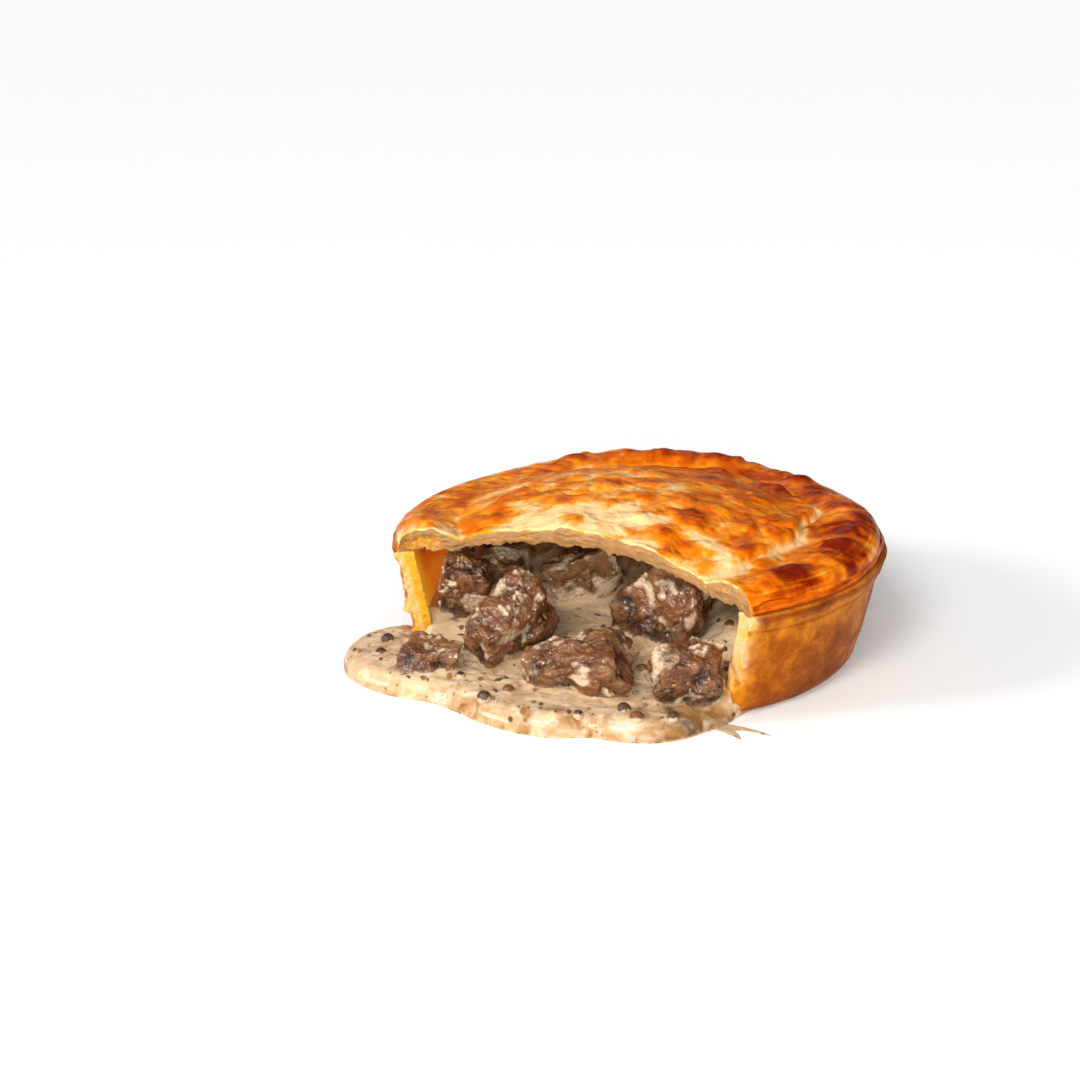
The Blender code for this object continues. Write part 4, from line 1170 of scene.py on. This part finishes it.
def make_chunk(name, centre, size, turn, seed, filling):
    """One dice of beef: the solid's reach in each direction, the relief of its fibres, and clinging sauce."""
    direction, faces = cube_sphere(68 if max(size) < 0.0135 else 90)
    local = direction * chunk_reach(direction, size, seed)[:, None]
    # Each chunk is cut from another place of the meat.
    lift, cleft = beef_relief(local + np.array([0.11, 0.07, 0.05]) * seed)
    matrix = chunk_turn(turn)
    world = local @ matrix.T + np.array(centre)
    above = np.maximum(0, world[:, 2] - sauce_height(world[:, :2], filling))
    # Sauce clings as beads of 1 to 2 mm, as smears, and as a foot where the chunk stands in it.
    bend = [noise(world, 0.0026, k) + 0.4 * noise(world, 0.001, k) for k in (129, 130, 131)]
    bead, _, pick = cells(world + 0.0012 * np.stack(bend, axis=-1), 0.0044, 132)
    beads = smoothstep(0.42, 0.10, bead) * smoothstep(0.55, 0.80, pick)
    smear = rough_noise(world, 0.0062, 133 + seed) - 0.35 * lift / 0.0008 + SAUCE_AND_PAINTED_LIGHT.get(name, 0.0)
    coat = np.maximum(np.maximum(beads, 0.75 * smoothstep(0.20, 1.0, smear)), 0.9 * np.exp(-above / 0.0007))
    film = np.clip(0.32 + 0.8 * SAUCE_AND_PAINTED_LIGHT.get(name, -0.12) + 0.60 * rough_noise(world, 0.0050, 134), 0, 1)
    local = local + direction * (lift + filling.coat_thickness * (coat + 1.6 * beads))[:, None]
    world = local @ matrix.T + np.array(centre)
    world[:, 2] = np.maximum(world[:, 2], 0.0)
    # Painted light and shade: the tops are painted paler, and the sides and the foot darker, as light from
    # above leaves them.
    upward = (direction @ matrix.T)[:, 2]
    values = {
        "cleft": np.clip(cleft + 0.10 * np.exp(-above / 0.004) + 0.20 * (0.42 - upward), 0, 1),
        "coat": coat,
        "film": np.clip(film + 0.25 * upward, 0, 1) - 0.15,
    }
    return piece_from(name.replace("steak", "beef"), world, faces, values, merge=2e-6)


def make_steak(filling):
    material = braised_beef(filling)
    for name, *shape in STEAK:
        hand_over(make_chunk(name, *shape, filling), material, "braised_steak", name)


# ---------------------------------------------------------------- sauce


def sauce_height(spot, filling):
    """The solid's level: thin where spilt, deeper in the mouth, banked on the right, heaped at the back."""
    behind, radius = cut_distance(spot), size_of(spot)
    within = 1 - smoothstep(SAUCE_RADIUS, 0.0556, radius)
    heaped = smoothstep(0.022, 0.060, behind)
    rise = (filling.mouth_level - filling.spill_level) * smoothstep(-0.018, 0.008, behind)
    rise = rise + (filling.mound_level - filling.mouth_level) * heaped
    bank = smoothstep(0.010, 0.026, spot[..., 0]) * smoothstep(-0.044, -0.020, spot[..., 1])
    rise = rise + filling.bank_rise * bank * (1 - heaped)
    left_end = size_of(spot - np.array([-0.0530, -0.0060]))
    rise = rise + 0.0030 * hump(left_end, 0.0055) * (1 - smoothstep(0.0520, 0.0540, radius))
    return filling.spill_level + rise * within + 0.00025 * wavy(raised(spot), SAUCE_WAVES)


def smooth_loop(control, steps):
    """A Catmull-Rom curve through a closed loop of plan points, with steps points to each stretch."""
    p0, p1, p2, p3 = (np.roll(control, shift, axis=0)[:, None] for shift in (1, 0, -1, -2))
    t = (np.arange(steps) / steps)[None, :, None]
    square = 2 * p0 - 5 * p1 + 4 * p2 - p3
    cube = 3 * p1 - p0 - 3 * p2 + p3
    return ((2 * p1 + (p2 - p0) * t + square * t**2 + cube * t**3) / 2).reshape(-1, 2)


def sauce_outline(count):
    """The sauce in plan: an arc inside the wall, then the spill, as count evenly spaced points."""
    azimuth = np.linspace(math.radians(-62), math.radians(179), 22)
    loop = smooth_loop(np.concatenate([on_circle(SAUCE_RADIUS, azimuth), np.array(SPILL_OUTLINE)]), 12)
    closed = np.concatenate([loop, loop[:1]])
    passed = np.concatenate([[0], np.cumsum(size_of(np.diff(closed, axis=0)))])
    at = np.arange(count) * passed[-1] / count
    return np.stack([np.interp(at, passed, closed[:, k]) for k in range(2)], axis=-1)


def spilt_share(edge):
    """1 where the sauce's outline is spilt and 0 inside the wall, passing over 6 mm between them."""
    share = np.where((cut_distance(edge) < 0.002) | (size_of(edge) > 0.0541), 1.0, 0.0)
    for _ in range(24):
        share = (np.roll(share, 1) + 2 * share + np.roll(share, -1)) / 4
    return share


def spill_drop(from_edge):
    """Share of its height that spilt sauce lacks near its edge: 1 - sqrt(1 - (1 - d / 4.8 mm)^2)."""
    return 1 - np.sqrt(1 - (1 - np.minimum(1, from_edge / SPILL_ROUNDING)) ** 2)


def make_sauce(filling):
    """The sauce's skin: rings that shrink from its outline towards its middle, then its flat underside.

    The height is the solid's. Where the sauce is spilt it rounds over by spill_drop, inside it leans on the
    wall, and it climbs 0.8 mm where it wets a chunk of steak.
    """
    edge = sauce_outline(520)
    shares = 1 - (1 - np.linspace(0, 1, 130)) ** 1.5
    spot = rings(SAUCE_MIDDLE, edge, shares)
    level = sauce_height(spot, filling)
    spilt = spilt_share(edge)
    from_edge = size_of(edge - spot)
    points, surface = raised(spot), raised(spot, level)
    climb = np.zeros_like(level)
    for _, *shape in STEAK:
        climb = np.maximum(climb, fade(from_chunk(surface, *shape), 0.0010))
    for x, y, size in PEPPERCORNS:
        climb = np.maximum(climb, 0.35 * fade(size_of(spot - np.array([x, y])) - 0.48 * size, 0.0005))
    ripple = 0.00034 * rough_noise(points, 0.0052, 131) + 0.00003 * noise(points, 0.0014, 132)
    level = level + (0.0008 * climb + ripple) * smoothstep(0.001, 0.009, from_edge)
    slope = (WALL_TOP_RADIUS - FOOT_RADIUS) / COLLAR_FOOT
    lean = level * slope * smoothstep(0.8, 1.0, shares)[:, None] * (1 - spilt)
    level = level * (1 - spilt * spill_drop(from_edge))
    spot = spot + (lean / np.maximum(1e-6, size_of(spot)))[..., None] * spot
    under = rings(SAUCE_MIDDLE, edge, [1, 0])
    grid = np.concatenate([raised(spot, level), raised(under)])
    # depth browns the sauce within 3 mm of the spilt edge, in a tan patch at the front right and in swirls.
    # Round the chunks and peppercorns, and from 26 to 50 mm behind the cut under the lid, it is painted
    # shade.
    tan = size_of(spot - np.array([0.010, -0.058]))
    depth = 0.40 * spilt * np.exp(-from_edge / 0.0030) + 0.40 * hump(tan, 0.012) + 0.26 * climb
    depth += 0.26 * noise(points, 0.017, 133) + 0.7 * smoothstep(0.026, 0.050, cut_distance(spot))
    values = {"depth": np.concatenate([depth, np.full((2, len(edge)), -0.02)])}
    piece = piece_from("cream_sauce", grid, grid_faces(*grid.shape[:2], wrap=True), values)
    hand_over(piece, cream_sauce(filling), "pepper_sauce", "pepper_sauce")


def make_smear(filling):
    """Two thin prongs of sauce dragged over the table from the foot of the right wall, each to a point.

    Across each the height is 0.16 mm (1 - v^2)(1 - u)^0.6 + 0.03 mm, u being the share of its length.
    """
    u = np.linspace(0, 1, 90)[:, None]
    v = np.linspace(-1, 1, 30)[None, :]
    start = np.array([0.0160, -0.0548])
    on_table = np.array([1, 1, 0])
    points, faces, depths = [], [], []
    for end, wide in (((0.0288, -0.0606), 0.0019), ((0.0214, -0.0627), 0.0021)):
        reach = size_of(end - start)
        way = (end - start) / reach
        aside = np.array([-way[1], way[0]])
        uneven = noise(flat(u * reach, np.sign(v) * 0.01 + wide), 0.0024, 161)
        half = wide * (1 - u) ** 0.7 * (1 + 0.7 * uneven * u) + 0.00006
        bend = 0.0008 * np.sin(math.pi * u)
        spot = start + u[..., None] * (end - start) + (half * v + bend)[..., None] * aside
        height = 0.00016 * (1 - v**2) * (1 - u) ** 0.6 + 0.00003
        top = raised(spot, height * (np.abs(v) < 1) * (u < 1))
        ring = np.concatenate([top, top[:, ::-1][:, 1:-1] * on_table], axis=1)
        cap = np.broadcast_to(ring[:1].mean(axis=1, keepdims=True), ring[:1].shape) * on_table
        ring = np.concatenate([cap, ring])
        faces.append(grid_faces(*ring.shape[:2], wrap=True, start=sum(map(len, points))))
        points.append(ring.reshape(-1, 3))
        depths.append(-0.27 + 0.4 * noise(points[-1], (0.006, 0.0012, 1), 163))
    values = {"depth": np.concatenate(depths)}
    piece = piece_from("sauce_smear", np.concatenate(points), np.concatenate(faces), values)
    hand_over(piece, cream_sauce(filling), "pepper_sauce")


# ---------------------------------------------------------------- pepper


def make_peppercorns(filling):
    """Whole peppercorns in the sauce: spheres whose reach varies by noise, with a net of wrinkles."""
    direction, grid = cube_sphere(14)
    points, faces, coat, tint = [], [], [], []
    for i, (x, y, size) in enumerate(PEPPERCORNS):
        spread = direction + 7.3 * i
        near, second, _ = cells(spread, 0.55, 141)
        reach = size / 2 * (1 + 0.06 * noise(spread, 0.9, 142) - 0.09 * smoothstep(0.22, 0.0, second - near))
        level = float(sauce_height(np.array([x, y]), filling))
        corn = direction * reach[:, None] + np.array([x, y, level + (0.04 - 0.09 * (i % 3)) * size])
        corn[:, 2] = np.maximum(corn[:, 2], 0.0)
        above = corn[:, 2] - level
        faces.append(grid + len(points) * len(direction))
        points.append(corn)
        coat.append(0.8 * smoothstep(0.0005, 0.0001, above + 0.0005 * noise(spread, 0.5, 143)))
        tint.append(np.full(len(corn), 0.15 + 0.5 * (i % 3 == 1)))
    values = {"coat": np.concatenate(coat), "tint": np.concatenate(tint)}
    piece = piece_from("peppercorns", np.concatenate(points), np.concatenate(faces), values)
    hand_over(piece, cracked_pepper(filling), "pepper_sauce")


def scatter(shapes, places, normals, sizes, draws):
    """Copies of a small shape: each is scaled by its size, spun about its normal and set at its place."""
    helper = np.where(np.abs(normals[:, 2:]) < 0.9, np.array([0, 0, 1.0]), np.array([1.0, 0, 0]))
    side = np.cross(helper, normals)
    side /= size_of(side)[:, None]
    other = np.cross(normals, side)
    spin = TAU * draws
    axes = [side * np.cos(spin) + other * np.sin(spin), other * np.cos(spin) - side * np.sin(spin), normals]
    return np.einsum("nvk,nkc->nvc", shapes * sizes[:, None, :], np.stack(axes, axis=1)) + places[:, None, :]


def fleck_shapes(count, draw):
    """count small angular scraps: an octahedron's corners, each pushed in or out, as arrays of 6 points."""
    corners = np.array([[1, 0, 0], [0, 1, 0], [-1, 0, 0], [0, -1, 0], [0, 0, 1], [0, 0, -1]], dtype=float)
    return corners * (0.65 + 0.7 * draw.random((count, 6, 1))) + 0.25 * (draw.random((count, 6, 3)) - 0.5)


def make_flecks(filling):
    """Cracked pepper: flat angular scraps of 0.3 to 2 mm, strewn over the sauce and the steak."""
    draw = np.random.default_rng(151)
    outline = sauce_outline(400)
    count = filling.fleck_count
    pick = draw.integers(0, len(outline), count)
    share = np.sqrt(draw.random(count)) * 0.94
    spot = SAUCE_MIDDLE + share[:, None] * (outline[pick] - SAUCE_MIDDLE)
    drop = spilt_share(outline)[pick] * spill_drop(size_of(outline[pick] - spot))
    places = raised(spot, sauce_height(spot, filling) * (1 - drop))
    normals = np.tile([0.0, 0.0, 1.0], (count, 1))
    # One in four lies on a chunk of steak instead.
    for i in range(0, count, 4):
        _, centre, size, turn, seed = STEAK[(i // 4) % len(STEAK)]
        way = draw.random(3) * 2 - 1
        way /= np.linalg.norm(way)
        out = chunk_turn(turn) @ way
        if out[2] > -0.2:
            places[i] = np.array(centre) + out * float(chunk_reach(way[None], size, seed)[0])
            normals[i] = out
    normals = normals + 0.25 * (draw.random((count, 3)) - 0.5)
    normals /= size_of(normals)[:, None]
    size = 0.00020 + 0.00085 * draw.random(count) ** 3.0
    sizes = np.stack([size * (1 + 1.5 * draw.random(count)), size, 0.35 * size], axis=-1)
    shapes = fleck_shapes(count, draw)
    points = scatter(shapes, places, normals, sizes, draw.random((count, 1)))
    points[..., 2] = np.maximum(points[..., 2], 0.0)
    triangles = [[0, 1, 4], [1, 2, 4], [2, 3, 4], [3, 0, 4]]
    triangles += [[1, 0, 5], [2, 1, 5], [3, 2, 5], [0, 3, 5]]
    faces = (np.array(triangles)[None] + 6 * np.arange(count)[:, None, None]).reshape(-1, 3)
    tint = np.repeat(0.15 + 0.85 * draw.random(count), 6)
    values = {"tint": tint, "coat": np.repeat(0.45 * draw.random(count), 6)}
    piece = piece_from("pepper_flecks", points, faces, values, merge=1e-8)
    piece.data.shade_flat()
    hand_over(piece, cracked_pepper(filling), "pepper_sauce")


# ---------------------------------------------------------------- stage


def add_light(name, kind, place, power, **settings):
    """A light at a place, aimed at a point 20 mm above the table on the pie's axis."""
    light = bpy.data.lights.new(name, kind)
    light.energy = power
    for key, value in settings.items():
        setattr(light, key, value)
    lamp = add_object(name, light)
    lamp.location = place
    aim = np.array([0, 0, 0.02]) - np.array(place)
    aim = aim / np.linalg.norm(aim)
    lamp.rotation_euler = (math.acos(-aim[2]), 0, math.atan2(aim[0], -aim[1]) + math.pi)
    return lamp


def make_stage(stage):
    """A plain pale floor, two broad lights from the upper left, soft light into the mouth, and the camera."""
    mesh = bpy.data.meshes.new("floor")
    mesh.from_pydata([(6 * x, 6 * y, 0) for x, y in ((-1, -1), (1, -1), (1, 1), (-1, 1))], [], [(0, 1, 2, 3)])
    material, node = start_material("pale_studio_floor")
    look = {"Base_Color": stage.floor, "Roughness": 1.0, "Specular_IOR_Level": 0.0}
    finish_material(material, node, Emission_Color=stage.floor, Emission_Strength=0.09, **look)
    mesh.materials.append(material)
    floor = add_object("floor", mesh)
    add_light("key_light", "SUN", (-0.36, -0.72, 0.64), stage.key_power, angle=math.radians(20))
    add_light("side_light", "SUN", (-0.90, -0.20, 0.39), 1.25 * stage.key_power, angle=math.radians(18))
    add_light("mouth_light", "AREA", (-0.06, -1.12, 0.30), stage.fill_power, shape="DISK", size=0.50)
    add_light("wall_light", "AREA", (0.85, -0.75, 0.30), 0.25, shape="DISK", size=0.50)
    # A low wide lamp behind and a small one above give the wet glints alone.
    glints = [((0.0, 0.92, 0.50), 0.35, 0.40, 0.12), ((-0.35, -0.60, 0.85), 9.0, 0.30, 0.16)]
    for i, (place, power, wide, high) in enumerate(glints, start=1):
        lamp = add_light(f"sparkle_light_{i}", "AREA", place, power, shape="RECTANGLE")
        lamp.data.size, lamp.data.size_y = wide, high
        lamp.visible_diffuse = False

    world = bpy.data.worlds.new("white_room")
    world.use_nodes = True
    node = partial(add_node, world.node_tree)
    # The room is brighter in front and at the upper left, and white where the camera sees it.
    direction = node("TexCoord", output="Generated")
    facing = node("VectorMath", direction, (-0.35, -0.75, 0.56), operation="DOT_PRODUCT", output="Value")
    strength = node("Math", facing, 0.85 * stage.sky, 0.80 * stage.sky, operation="MULTIPLY_ADD")
    strength = node("Math", strength, node("LightPath", output="Is Camera Ray"), operation="MAXIMUM")
    background = world.node_tree.nodes["Background"].inputs
    world.node_tree.links.new(strength, background["Strength"])
    background["Color"].default_value = (1, 1, 1, 1)
    bpy.context.scene.world = world
    bpy.context.scene.view_settings.view_transform = "Standard"

    camera = bpy.data.cameras.new("camera")
    camera.sensor_width, camera.lens = 36, 76.667
    eye = add_object("camera", camera)
    eye.location = (-0.0242, -0.5412, 0.2149)
    eye.rotation_euler = (math.radians(90 - 19.22), 0, 0)
    bpy.context.scene.camera = eye


# ---------------------------------------------------------------- operators and panel


class PIE_OT_lid(bpy.types.Operator):
    """Makes the glazed lid."""

    bl_idname = "pie.lid"
    bl_label = "Glazed lid"

    def execute(self, context):
        make_lid(context.scene.pie_lid)
        return {"FINISHED"}


class PIE_OT_case(bpy.types.Operator):
    """Makes the baked pastry case."""

    bl_idname = "pie.case"
    bl_label = "Pastry case"

    def execute(self, context):
        make_case(context.scene.pie_case)
        return {"FINISHED"}


class PIE_OT_steak(bpy.types.Operator):
    """Makes the nine chunks of braised beef."""

    bl_idname = "pie.steak"
    bl_label = "Braised steak"

    def execute(self, context):
        make_steak(context.scene.pie_filling)
        return {"FINISHED"}


class PIE_OT_sauce(bpy.types.Operator):
    """Makes the cream sauce, in the pie and spilt in front of it."""

    bl_idname = "pie.sauce"
    bl_label = "Cream sauce"

    def execute(self, context):
        make_sauce(context.scene.pie_filling)
        make_smear(context.scene.pie_filling)
        return {"FINISHED"}


class PIE_OT_pepper(bpy.types.Operator):
    """Makes the whole peppercorns and the cracked pepper."""

    bl_idname = "pie.pepper"
    bl_label = "Pepper"

    def execute(self, context):
        make_peppercorns(context.scene.pie_filling)
        make_flecks(context.scene.pie_filling)
        return {"FINISHED"}


class PIE_OT_stage(bpy.types.Operator):
    """Makes the floor, the lights and the camera."""

    bl_idname = "pie.stage"
    bl_label = "Stage"

    def execute(self, context):
        make_stage(context.scene.pie_stage)
        return {"FINISHED"}


class PIE_PT_panel(bpy.types.Panel):
    """Lists what the pie is made of."""

    bl_label = "Pepper steak pie"
    bl_idname = "PIE_PT_panel"
    bl_space_type = "VIEW_3D"
    bl_region_type = "UI"
    bl_category = "Pie"

    def draw(self, context):
        for operator in OPERATORS:
            self.layout.operator(operator.bl_idname)
        for name in GROUPS:
            box = self.layout.box()
            group = getattr(context.scene, name)
            for key in group.bl_rna.properties.keys():
                if key not in ("rna_type", "name"):
                    box.prop(group, key)


OPERATORS = (PIE_OT_lid, PIE_OT_case, PIE_OT_steak, PIE_OT_sauce, PIE_OT_pepper, PIE_OT_stage)
GROUPS = {"pie_lid": PieLid, "pie_case": PieCase, "pie_filling": PieFilling, "pie_stage": PieStage}


def register():
    for kind in (*GROUPS.values(), *OPERATORS, PIE_PT_panel):
        bpy.utils.register_class(kind)
    for name, group in GROUPS.items():
        setattr(bpy.types.Scene, name, bpy.props.PointerProperty(type=group))


def unregister():
    for name in GROUPS:
        delattr(bpy.types.Scene, name)
    for kind in reversed((*GROUPS.values(), *OPERATORS, PIE_PT_panel)):
        bpy.utils.unregister_class(kind)


def main():
    register()
    bpy.ops.pie.stage()
    bpy.ops.pie.lid()
    bpy.ops.pie.case()
    bpy.ops.pie.steak()
    bpy.ops.pie.sauce()
    bpy.ops.pie.pepper()


if __name__ == "__main__":
    main()
